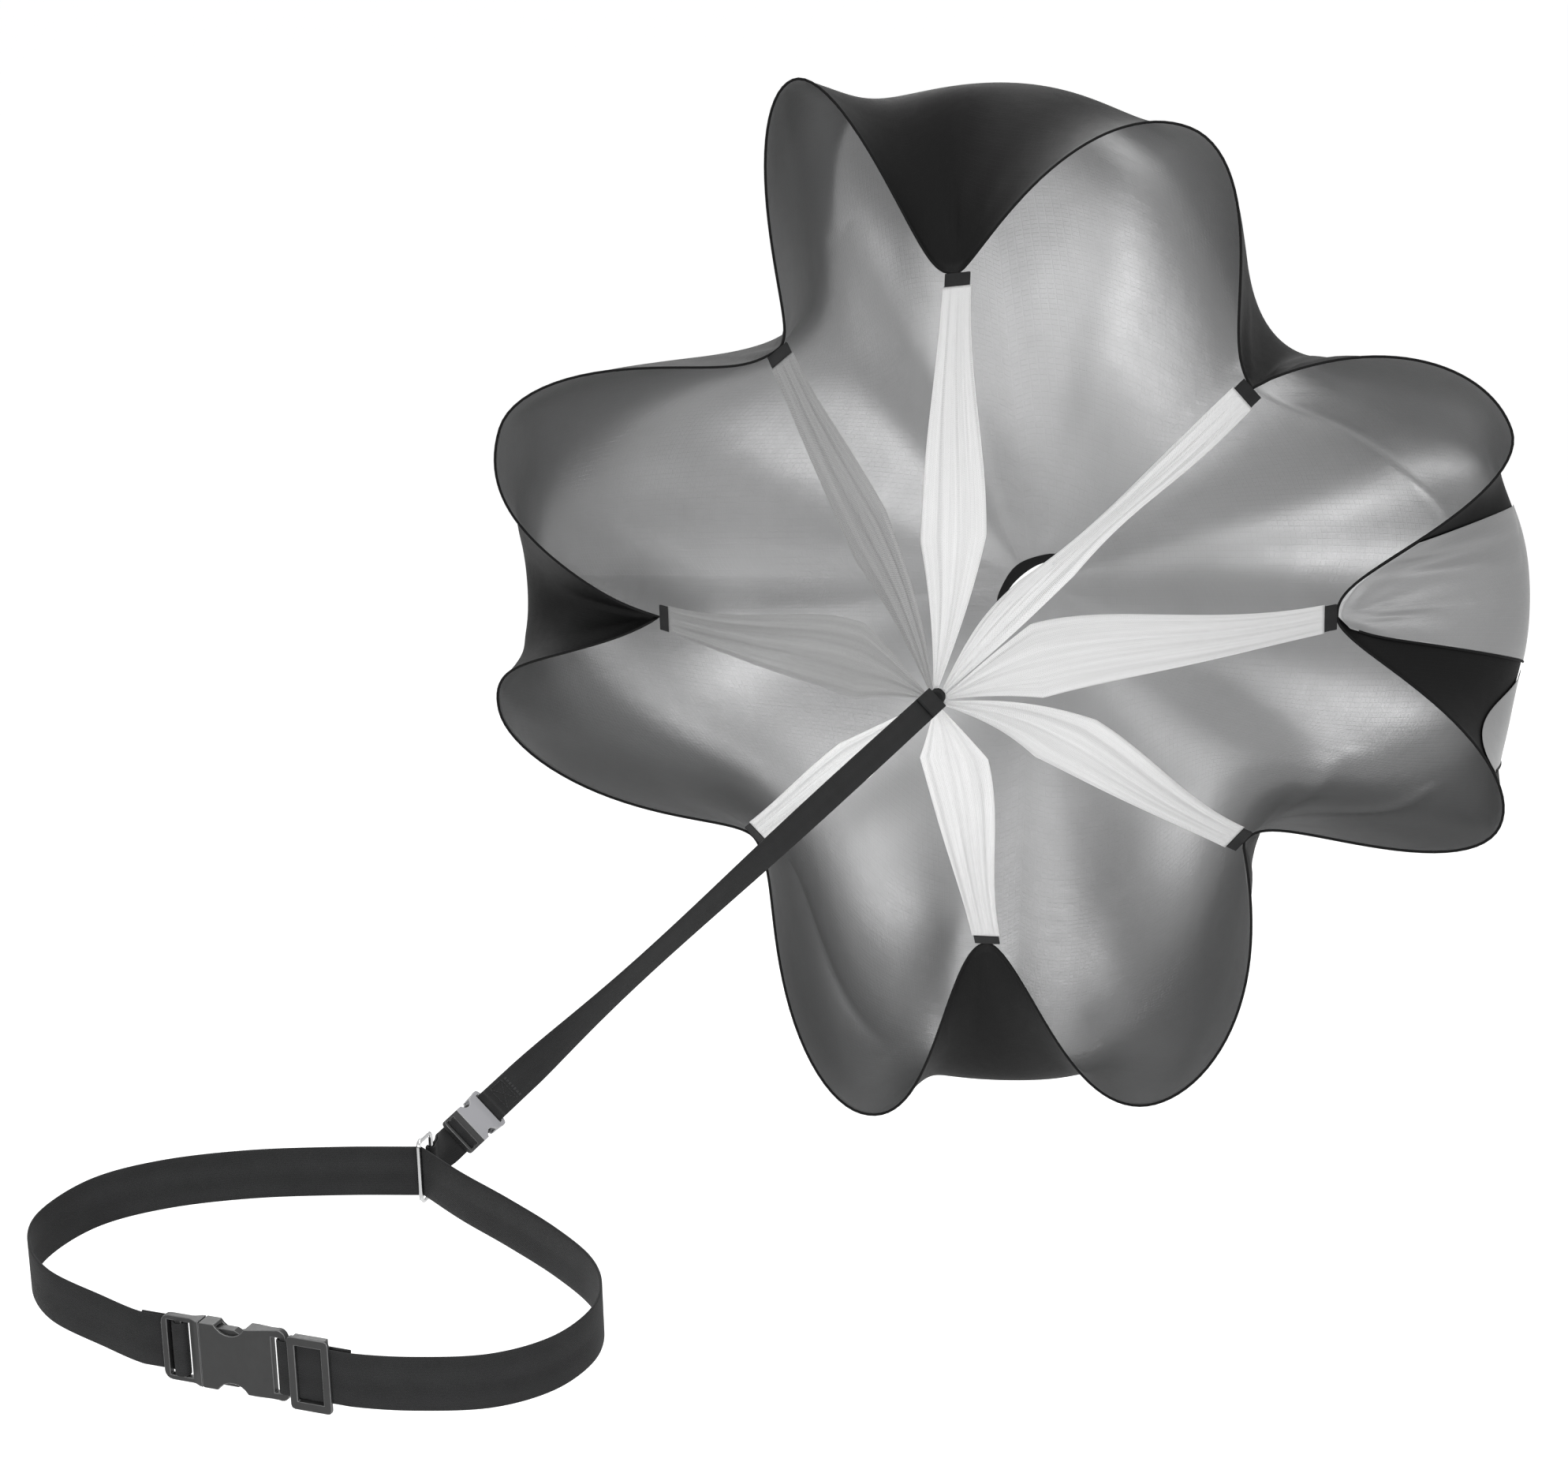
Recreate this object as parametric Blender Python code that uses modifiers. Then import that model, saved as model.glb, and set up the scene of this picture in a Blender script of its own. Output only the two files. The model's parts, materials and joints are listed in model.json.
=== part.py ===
"""Speed parachute: an inflated square canopy on eight net strips, a webbing tether and a waist belt.

Units are metres, with +Z up. The origin is the middle of the belt loop. The wearer faces -Y and the
canopy flies behind, towards +Y.
"""

import math

import bmesh
import bpy
import numpy as np
from mathutils import Matrix, Vector

# General sizes
CLEARANCE = 0.0003
CUT_OVERRUN = 0.002
WEB_THICKNESS = 0.0018
LAYER_STEP = WEB_THICKNESS + 2 * CLEARANCE
CLOTH_THICKNESS = 0.0012
NET_THICKNESS = 0.0010
BINDING_THICKNESS = 0.0016

# Where the hub is: to the wearer's right, behind and below the middle of the belt loop
HUB_SIDE_LENGTH = 0.147
HUB_BACK_LENGTH = 1.391
HUB_DROP_LENGTH = 0.007

# Canopy, in flight. The rig is what lies between the hub and the plane of the ties
CUT_SIDE = 1.42
MOUTH_RADIUS = 0.381
RIG_LENGTH = 0.564
CROWN_DEPTH = 0.355
LOBE_DEPTH = 0.100
SHOULDER_TUCK_DEPTH = 0.025
CROWN_FLATNESS_SHARE = 0.55
CANOPY_YAW = -4.95
CANOPY_PITCH = -7.22
# Direction of each net strip round the canopy axis, in degrees, from the wearer's right, corner strips
# and side strips by turns
TIE_TURNS = (0.0, 41.5, 96.0, 129.6, 181.5, 223.5, 268.9, 317.7)
CORNER_TIES = (0, 2, 4, 6)
# How far out the cloth's shoulder lies behind each tie, as a share of half the cut side
TIE_SHOULDER_SHARES = (1.028, 0.648, 1.003, 0.606, 1.003, 0.648, 1.031, 0.620)
# Each lobe's height past its ties, as a share of half the cut side
PETAL_SHARES = (0.324, 0.282, 0.370, 0.338, 0.325, 0.363, 0.338, 0.346)
# Where each lobe's tip lies between its two ties
TIP_SHARES = (0.467, 0.494, 0.465, 0.612, 0.272, 0.691, 0.373, 0.439)
# How sharply each lobe rises from its first tie and falls to its second: the powers of a half wave
RISE_POWERS = (2.48, 2.24, 3.00, 2.57, 1.03, 2.30, 1.61, 2.40)
FALL_POWERS = (0.80, 1.35, 2.07, 0.90, 2.00, 1.81, 1.38, 1.94)
LOBE_COLUMNS = 10
CANOPY_ROWS = 12

# Crown vent: an oval hole with a wide binding, to the right of the canopy axis and below it
VENT_HALF_LENGTH = 0.036
VENT_HALF_WIDTH = 0.012
VENT_TURN = 39.0
VENT_SIDE_LENGTH = 0.026
VENT_DROP_LENGTH = 0.022
VENT_BINDING_WIDTH = 0.018

# Net strips and the tabs that hold them
STRIP_RIM_WIDTH = 0.033
STRIP_BELLY_WIDTH = 0.078
STRIP_HUB_WIDTH = 0.0044
STRIP_PLEATS = 3
STRIP_PLEAT_HEIGHT = 0.0045
STRIP_ROWS = 9
# Each strip's own width at its belly, where along it the belly lies, and how far the air blows it to
# the side, as a share of its width
BELLY_WIDTH_SHARES = (1.00, 0.90, 0.90, 0.90, 1.03, 0.64, 0.92, 1.03)
BELLY_PLACE_SHARES = (0.78, 0.66, 0.66, 0.58, 0.77, 0.60, 0.80, 0.66)
BELLY_SWAY_SHARES = (0.25, 0.15, -0.15, -0.15, -0.22, 0.00, 0.10, 0.28)
STRIP_ROLLS = (20.0, 72.0, 0.0, 25.0, -15.0, 0.0, 0.0, -20.0)
TAB_LENGTH = 0.024
TAB_WIDTH = 0.030
TAB_THICKNESS = 0.0030
# Share of the cloth's thickness between a tab's gap and the cloth's middle, where the cloth slants
TIE_CLOTH_SHARE = 0.75
HUB_CORE_RADIUS = 0.0085
HUB_CORE_LENGTH = 0.016

# Tether and pigtail
TETHER_WIDTH = 0.025
TETHER_ROCK = 50.0
TETHER_ROLL = 45.0
TETHER_ROWS = 28
TETHER_FOLD = 0.050
TETHER_END_FOLD = 0.040
PIGTAIL_LENGTH = 0.046
PIGTAIL_ROWS = 7
TETHER_HUB_GAP = 0.0006

# Belt ring: a welded rectangle of round wire
RING_WIRE = 0.0035
RING_HEIGHT = 0.0502
RING_DEPTH = 0.0200
RING_CORNER = 0.0040

# Belt
BELT_WIDTH = 0.038
BELT_HALF_WIDTH = 0.212
BELT_HALF_DEPTH = 0.161
BELT_FOLD = 0.032
BELT_STEPS = 4
BUCKLE_TURN = -9.0
# Middle of the buckle's mouth, as shares of the loop's half width and half depth
BUCKLE_SHARES = (-0.150, -0.835)
RING_SHARES = (0.071, 1.0)
# The webbing's way round the waist, as shares of the loop's half width and half depth
LEFT_WAY_SHARES = (
    (-0.54, -0.655),
    (-0.79, -0.46),
    (-0.945, -0.20),
    (-1.0, 0.09),
    (-0.935, 0.44),
    (-0.76, 0.68),
    (-0.50, 0.85),
    (-0.20, 0.955),
)
RIGHT_WAY_SHARES = (
    (0.27, 0.79),
    (0.49, 0.56),
    (0.71, 0.31),
    (0.885, 0.06),
    (0.975, -0.18),
    (0.995, -0.43),
    (0.93, -0.69),
    (0.78, -0.875),
    (0.56, -0.955),
)

# Side-release buckles, as shares of their webbing's width
BODY_LENGTH_SHARE = 1.66
BODY_HALF_WIDTH_SHARE = 0.665
CLIP_LENGTH_SHARE = 0.80
BUCKLE_THICKNESS_SHARE = 0.30
EDGE_THICKNESS_SHARE = 0.13
NECK_SHARE = 0.05
EAR_SHARE = 0.16
BAR_SHARE = 0.12
SLOT_SHARE = 0.165
MOUTH_HALF_SHARE = 0.43
POST_SHARE = 0.30
WINDOW_SHARE = 0.60
NOTCH_DEPTH_SHARE = 0.17
PAD_SINK_SHARE = 0.13
ARM_SHARE = 0.085
POCKET_SHARE = 0.13
# Shares of a prong's arm: the pocket's width and the depth of the heel behind the pad
POCKET_WIDTH_SHARE = 2.2
HEEL_SHARE = 0.8
# Shares of the side window: where the pad's slope starts and where the heel lies
PAD_SLOPE_SHARE = 0.6
HEEL_PLACE_SHARE = 0.7
# Share of the buckle's thickness
CAVITY_SHARE = 0.66
WEB_SIDE_GAP = 0.0008
# Play of a prong in its body and its pocket
PRONG_PLAY = 0.0012

# Tri-glide
GLIDE_LENGTH = 0.030
GLIDE_RAIL = 0.0055
GLIDE_BAR = 0.0050
GLIDE_BAR_THICKNESS = 0.0020
GLIDE_RAIL_THICKNESS = 0.0026
GLIDE_SIDE = 0.0060
GLIDE_GAP = 0.004
GLIDE_TRAVEL = (-0.003, 0.012)

SHARP_ANGLE = 40.0
COLLECTION = "speed_parachute"
CUTTERS = "cutters"


def finish(name, colour, roughness, metallic=0.0):
    """A plain Principled material with the part's own colour."""
    material = bpy.data.materials.new(name)
    material.use_nodes = True
    shader = material.node_tree.nodes["Principled BSDF"]
    shader.inputs["Base Color"].default_value = (*colour, 1.0)
    shader.inputs["Roughness"].default_value = roughness
    shader.inputs["Metallic"].default_value = metallic
    return material


def clear_scene():
    """Empty the file and make the two collections."""
    for thing in list(bpy.data.objects):
        bpy.data.objects.remove(thing)
    for name in (COLLECTION, CUTTERS):
        made = bpy.data.collections.new(name)
        bpy.context.scene.collection.children.link(made)


def add(name, mesh, material, collection=COLLECTION):
    """Link a mesh to the scene as an object of that name."""
    thing = bpy.data.objects.new(name, mesh)
    bpy.data.collections[collection].objects.link(thing)
    mesh.materials.clear()
    mesh.materials.append(material)
    return thing


def carry(name, place, pieces):
    """An empty on a joint's axis, which carries the pieces that turn there."""
    empty = bpy.data.objects.new(name, None)
    bpy.data.collections[COLLECTION].objects.link(empty)
    empty.matrix_world = place
    for piece in pieces:
        piece.parent = empty
        piece.matrix_parent_inverse = place.inverted()
    return empty


def evaluated_mesh(thing):
    """The mesh of an object as its modifiers leave it."""
    graph = bpy.context.evaluated_depsgraph_get()
    return bpy.data.meshes.new_from_object(thing.evaluated_get(graph))


def weld(mesh):
    """Join points that lie on each other and turn every face outwards."""
    shape = bmesh.new()
    shape.from_mesh(mesh)
    bmesh.ops.remove_doubles(shape, verts=shape.verts, dist=CLEARANCE / 10)
    bmesh.ops.recalc_face_normals(shape, faces=shape.faces)
    shape.to_mesh(mesh)
    shape.free()


def plate(name, outlines, thickness, material, matrix=Matrix(), collection=COLLECTION):
    """A flat piece: closed outlines in the local XZ plane, the later ones holes, thick along Y."""
    curve = bpy.data.curves.new(name, "CURVE")
    curve.dimensions = "2D"
    curve.fill_mode = "BOTH"
    curve.extrude = thickness / 2
    for outline in outlines:
        spline = curve.splines.new("POLY")
        spline.points.add(len(outline) - 1)
        for point, (x, z) in zip(spline.points, outline):
            point.co = (x, z, 0.0, 1.0)
        spline.use_cyclic_u = True
    drawn = bpy.data.objects.new(name + "_outline", curve)
    bpy.context.scene.collection.objects.link(drawn)
    mesh = evaluated_mesh(drawn)
    bpy.data.objects.remove(drawn)
    bpy.data.curves.remove(curve)
    weld(mesh)
    mesh.transform(Matrix.Rotation(math.radians(90.0), 4, "X"))
    thing = add(name, mesh, material, collection)
    thing.matrix_world = matrix
    return thing


def block(name, low, high, matrix, material, collection=COLLECTION):
    """A box between two corners of the local frame."""
    mesh = bpy.data.meshes.new(name)
    shape = bmesh.new()
    bmesh.ops.create_cube(shape, size=1.0)
    low, high = Vector(low), Vector(high)
    middle, sides = (low + high) / 2, high - low
    bmesh.ops.scale(shape, vec=sides, verts=shape.verts)
    bmesh.ops.translate(shape, vec=middle, verts=shape.verts)
    shape.to_mesh(mesh)
    shape.free()
    thing = add(name, mesh, material, collection)
    thing.matrix_world = matrix
    return thing


def combine(thing, other, operation):
    """Cut, join or intersect a piece with another one, which becomes a guide."""
    for collection in list(other.users_collection):
        collection.objects.unlink(other)
    bpy.data.collections[CUTTERS].objects.link(other)
    other.hide_render = True
    other.display_type = "WIRE"
    step = thing.modifiers.new(operation.lower(), "BOOLEAN")
    step.operation = operation
    step.object = other
    step.solver = "EXACT"


def soften(thing, width):
    """Round the sharp edges of a moulded piece."""
    bevel = thing.modifiers.new("edges", "BEVEL")
    bevel.width = width
    bevel.segments = 1
    bevel.limit_method = "ANGLE"
    bevel.angle_limit = math.radians(50.0)


def grid_mesh(name, grid, wrap=False):
    """A mesh over a grid of points, whose last column joins the first if it wraps."""
    rows, columns = grid.shape[:2]
    index = np.arange(rows * columns).reshape(rows, columns)
    if wrap:
        index = np.hstack([index, index[:, :1]])
    corners = (index[:-1, :-1], index[:-1, 1:], index[1:, 1:], index[1:, :-1])
    faces = np.stack([c.ravel() for c in corners], axis=1)
    mesh = bpy.data.meshes.new(name)
    mesh.from_pydata(grid.reshape(-1, 3).tolist(), [], faces.tolist())
    return mesh


def sheet(name, grid, thickness, material, wrap=False, matrix=Matrix()):
    """A thin piece whose middle surface is a grid of points."""
    thing = add(name, grid_mesh(name, grid, wrap), material)
    thing.matrix_world = matrix
    wall = thing.modifiers.new("wall", "SOLIDIFY")
    wall.thickness = thickness
    wall.offset = 0.0
    return thing


def unit(vectors):
    """Vectors of length one."""
    vectors = np.asarray(vectors, float)
    return vectors / np.linalg.norm(vectors, axis=-1, keepdims=True)


def smooth_way(points, steps):
    """A Catmull-Rom curve through points, with so many steps between each pair."""
    points = np.asarray(points, float)
    ends = (2 * points[:1] - points[1:2], 2 * points[-1:] - points[-2:-1])
    padded = np.vstack([ends[0], points, ends[1]])
    along = np.linspace(0.0, 1.0, steps, endpoint=False)[:, None]
    pieces = []
    for a, b, c, d in zip(padded[:-3], padded[1:-2], padded[2:-1], padded[3:]):
        pieces.append(
            0.5 * (2 * b + (c - a) * along + (2 * a - 5 * b + 4 * c - d) * along**2
                   + (3 * b - a - 3 * c + d) * along**3)
        )
    return np.vstack(pieces + [points[-1:]])


def arc(centre, radius, start, stop, steps):
    """Points of an arc in a plane, from one angle to another in degrees."""
    angles = np.radians(np.linspace(start, stop, steps + 1))
    return np.stack([centre[0] + radius * np.cos(angles), centre[1] + radius * np.sin(angles)], axis=1)


def strap(name, way, width, material, matrix=Matrix()):
    """Flat webbing whose width stands along Z: a way in the local XY plane, thick on both sides."""
    way = np.asarray(way, float)
    grid = np.zeros((2, len(way), 3))
    grid[:, :, :2] = way
    grid[0, :, 2] = -width / 2
    grid[1, :, 2] = width / 2
    return sheet(name, grid, WEB_THICKNESS, material, matrix=matrix)


def ribbon(name, centres, acrosses, width, material):
    """Webbing that may twist: a middle line and the direction of its width at each point."""
    centres = np.asarray(centres, float)
    acrosses = unit(acrosses)
    grid = np.stack([centres - acrosses * width / 2, centres + acrosses * width / 2])
    return sheet(name, grid, WEB_THICKNESS, material)


class CanopyFrame:
    """The canopy's own directions: its axis from the hub to the crown, and two across it."""

    def __init__(self):
        yaw, pitch = math.radians(CANOPY_YAW), math.radians(CANOPY_PITCH)
        self.hub = np.array([HUB_SIDE_LENGTH, HUB_BACK_LENGTH, -HUB_DROP_LENGTH])
        self.axis = np.array([
            math.sin(yaw) * math.cos(pitch), math.cos(yaw) * math.cos(pitch), math.sin(pitch)
        ])
        self.side = unit(np.cross(self.axis, [0.0, 0.0, 1.0]))
        self.up = np.cross(self.side, self.axis)
        self.mouth = self.hub + self.axis * RIG_LENGTH

    def place(self, turn, radius, depth):
        """A point by its turn round the axis, its distance from it and its depth past the mouth."""
        turn, radius, depth = (np.asarray(v, float)[..., None] for v in (turn, radius, depth))
        across = np.cos(turn) * self.side + np.sin(turn) * self.up
        return self.mouth + radius * across + depth * self.axis

    def around(self, turn):
        """The direction round the axis at a turn."""
        return -np.sin(turn) * self.side + np.cos(turn) * self.up


def tie_turns():
    """The turns of the eight ties, in radians, with the first repeated a full turn on."""
    return np.radians(np.array(TIE_TURNS + (TIE_TURNS[0] + 360.0,)))


def tie_radius_and_depth():
    """Where the hem's ties lie: the strip's line goes on through the tab to the cloth's near face."""
    slope = math.hypot(MOUTH_RADIUS, RIG_LENGTH)
    reach = TAB_LENGTH + 2 * CLEARANCE + CLOTH_THICKNESS * TIE_CLOTH_SHARE
    radius = MOUTH_RADIUS + reach * MOUTH_RADIUS / slope
    return radius, reach * RIG_LENGTH / slope


def hem():
    """The inflated hem: turn, radius, depth, the shoulder's radius and the flat distance from the crown.

    Between two ties the half side of the cut square stands out as a petal. Behind it the cloth's
    shoulder goes from its distance at a tie to just inside the petal's tip.
    """
    turns = tie_turns()
    tie_radius, tie_depth = tie_radius_and_depth()
    half_side = CUT_SIDE / 2
    shoulders = half_side * np.array(TIE_SHOULDER_SHARES + TIE_SHOULDER_SHARES[:1])
    along = np.arange(LOBE_COLUMNS) / LOBE_COLUMNS
    wave = np.sin(np.pi * along)
    rows = []
    for lobe, (petal, tip, rise, fall) in enumerate(zip(PETAL_SHARES, TIP_SHARES, RISE_POWERS, FALL_POWERS)):
        height = petal * half_side
        span = turns[lobe + 1] - turns[lobe]
        turn = turns[lobe] + span * (along + (tip - 0.5) * wave**2)
        radius = tie_radius + height * wave ** np.where(along < 0.5, rise, fall)
        depth = tie_depth + (LOBE_DEPTH - tie_depth) * wave**2
        tie_shoulder = np.where(along < 0.5, shoulders[lobe], shoulders[lobe + 1])
        tip_shoulder = tie_radius + height - SHOULDER_TUCK_DEPTH
        shoulder = tie_shoulder + (tip_shoulder - tie_shoulder) * wave**3
        from_side = 1.0 - along if lobe in CORNER_TIES else along
        flat = half_side * np.hypot(1.0, from_side)
        rows.append(np.stack([turn, radius, depth, shoulder, flat], axis=1))
    return np.vstack(rows)


def vent_radius(turn):
    """Distance from the crown to the oval edge of the vent, at a turn."""
    angle = turn - math.radians(VENT_TURN)
    a, b = VENT_HALF_LENGTH, VENT_HALF_WIDTH
    return a * b / np.hypot(b * np.cos(angle), a * np.sin(angle))


def meridian(start, shoulder, edge, shoulder_depth, edge_depth, share):
    """Radius and depth along a quartic Bezier curve from the crown, over the shoulder, to the hem.

    Its third and fourth points are both the shoulder, which makes the turn there a tight one.
    """
    back = 1 - share
    weights = (back**4, 4 * back**3 * share, 6 * back**2 * share**2 + 4 * back * share**3, share**4)
    radii = (start, CROWN_FLATNESS_SHARE * shoulder, shoulder, edge)
    depths = (CROWN_DEPTH, CROWN_DEPTH, shoulder_depth, edge_depth)
    radius = sum(w * r for w, r in zip(weights, radii))
    depth = sum(w * d for w, d in zip(weights, depths))
    return radius, depth


def solve_shoulder_depth(start, shoulder, edge, edge_depth, flat):
    """How deep each shoulder lies for its meridian's length to be what was cut, by halving."""
    share = np.linspace(0.0, 1.0, 40)[:, None]
    low, high = edge_depth.copy(), np.full(len(edge), 2 * CROWN_DEPTH)
    for _ in range(40):
        middle = (low + high) / 2
        radius, depth = meridian(start, shoulder, edge, middle, edge_depth, share)
        length = np.hypot(np.diff(radius, axis=0), np.diff(depth, axis=0)).sum(axis=0)
        low = np.where(length < flat - start, middle, low)
        high = np.where(length < flat - start, high, middle)
    return (low + high) / 2


def canopy_grid(frame):
    """Points of the canopy from the vent to the hem. The vent lies a little off the axis."""
    turn, edge, edge_depth, shoulder, flat = hem().T
    start = vent_radius(turn)
    shoulder_depth = solve_shoulder_depth(start, shoulder, edge, edge_depth, flat)
    share = np.linspace(0.0, 1.0, CANOPY_ROWS)[:, None]
    radius, depth = meridian(start, shoulder, edge, shoulder_depth, edge_depth, share)
    shift = VENT_SIDE_LENGTH * frame.side - VENT_DROP_LENGTH * frame.up
    grid = frame.place(np.broadcast_to(turn, radius.shape), radius, depth)
    return grid + ((1 - share) ** 2)[..., None] * shift


def make_canopy(frame, cloth, binding):
    """The cloth as one thin shell, open at the mouth and at the vent, and the vent's binding."""
    grid = canopy_grid(frame)
    canopy = sheet("canopy_cloth", grid, CLOTH_THICKNESS, cloth, wrap=True)
    canopy.data.shade_smooth()
    setback = frame.axis * ((CLOTH_THICKNESS + BINDING_THICKNESS) / 2 + CLEARANCE)
    inner, outer = grid[0] - setback, grid[1] - setback
    way = outer - inner
    inner = inner + unit(way) * BINDING_THICKNESS
    band = np.stack([inner, inner + unit(way) * VENT_BINDING_WIDTH])
    bound = sheet("vent_binding", band, BINDING_THICKNESS, binding, wrap=True)
    return [canopy, bound]


def strip_ends(frame, turn):
    """The rim end and the hub end of a net strip's middle line."""
    rim = frame.place(turn, MOUTH_RADIUS, 0.0)
    hub = frame.place(turn, HUB_CORE_RADIUS + CLEARANCE + NET_THICKNESS / 2, -RIG_LENGTH)
    return rim, hub


def strip_width(share, belly, belly_share):
    """Width of a net strip, from its rim end (0) over its belly to the gather at the hub (1)."""
    outward = np.clip(share / belly_share, 0.0, 1.0)
    inward = np.clip((1.0 - share) / (1.0 - belly_share), 0.0, 1.0)
    swell = np.sin(outward * np.pi / 2) ** 2
    from_rim = STRIP_RIM_WIDTH + (belly - STRIP_RIM_WIDTH) * swell
    from_hub = STRIP_HUB_WIDTH + (belly - STRIP_HUB_WIDTH) * inward
    return np.where(share < belly_share, from_rim, from_hub)


def make_strips(frame, net):
    """Eight pleated net strips, each gathered at its tab and at the hub and blown a little to the side."""
    share = np.linspace(0.0, 1.0, STRIP_ROWS)[:, None]
    across_share = np.linspace(-0.5, 0.5, 2 * STRIP_PLEATS + 1)
    strips = []
    fold = np.where(np.arange(len(across_share)) % 2 == 0, 0.5, -0.5)
    bellies = zip(tie_turns(), STRIP_ROLLS, BELLY_WIDTH_SHARES, BELLY_PLACE_SHARES, BELLY_SWAY_SHARES)
    for number, (turn, roll, width_share, belly_share, sway_share) in enumerate(bellies, start=1):
        rim, hub = strip_ends(frame, turn)
        along = unit(hub - rim)
        flat = frame.around(turn)
        out = np.cross(along, flat)
        angle = math.radians(roll) * np.sin(np.pi * share)
        across = np.cos(angle) * flat + np.sin(angle) * out
        normal = -np.sin(angle) * flat + np.cos(angle) * out
        belly = width_share * STRIP_BELLY_WIDTH
        width = strip_width(share, belly, belly_share)
        pleat = STRIP_PLEAT_HEIGHT * np.sin(np.pi * share) ** 0.5
        sway = sway_share * belly * np.sin(np.pi * share**2)
        middle = rim + (hub - rim) * share + sway * flat
        grid = (
            middle[:, None]
            + (width * across_share)[..., None] * across[:, None]
            + (pleat * fold)[..., None] * normal[:, None]
        )
        strips.append(sheet(f"net_strip_{number}", grid, NET_THICKNESS, net))
    return strips


def make_tabs(frame, webbing):
    """A folded reinforcement tab at each tie, between the net strip and the hem."""
    tabs = []
    for number, turn in enumerate(tie_turns()[:-1], start=1):
        rim, hub = strip_ends(frame, turn)
        along = unit(rim - hub)
        around = frame.around(turn)
        matrix = Matrix.Identity(4)
        for column, direction in enumerate((along, np.cross(around, along), around)):
            matrix.col[column] = (*direction, 0.0)
        matrix.col[3] = (*rim, 1.0)
        low = (CLEARANCE, -TAB_THICKNESS / 2, -TAB_WIDTH / 2)
        high = (CLEARANCE + TAB_LENGTH, TAB_THICKNESS / 2, TAB_WIDTH / 2)
        tab = block(f"rim_tab_{number}", low, high, matrix, webbing)
        soften(tab, TAB_THICKNESS / 4)
        tabs.append(tab)
    return tabs


def make_hub(frame, webbing):
    """The sewn core that the eight strips are gathered on."""
    mesh = bpy.data.meshes.new("gather_core")
    shape = bmesh.new()
    bmesh.ops.create_cone(
        shape, cap_ends=True, segments=16, radius1=HUB_CORE_RADIUS, radius2=HUB_CORE_RADIUS,
        depth=HUB_CORE_LENGTH,
    )
    shape.to_mesh(mesh)
    shape.free()
    mesh.shade_smooth()
    mesh.set_sharp_from_angle(angle=math.radians(SHARP_ANGLE))
    core = add("gather_core", mesh, webbing)
    turn = Vector((0.0, 0.0, 1.0)).rotation_difference(Vector(frame.axis)).to_matrix().to_4x4()
    core.matrix_world = Matrix.Translation(Vector(frame.hub)) @ turn
    soften(core, HUB_CORE_RADIUS / 8)
    return core


def mirrored(points):
    """An outline's points followed by their mirror image below the local X axis."""
    points = list(map(tuple, points))
    return points + [(x, -z) for x, z in reversed(points)]


def rectangle(low_x, high_x, half_height):
    """A rectangular outline about the local X axis."""
    return [
        (low_x, -half_height), (high_x, -half_height), (high_x, half_height), (low_x, half_height)
    ]


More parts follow.
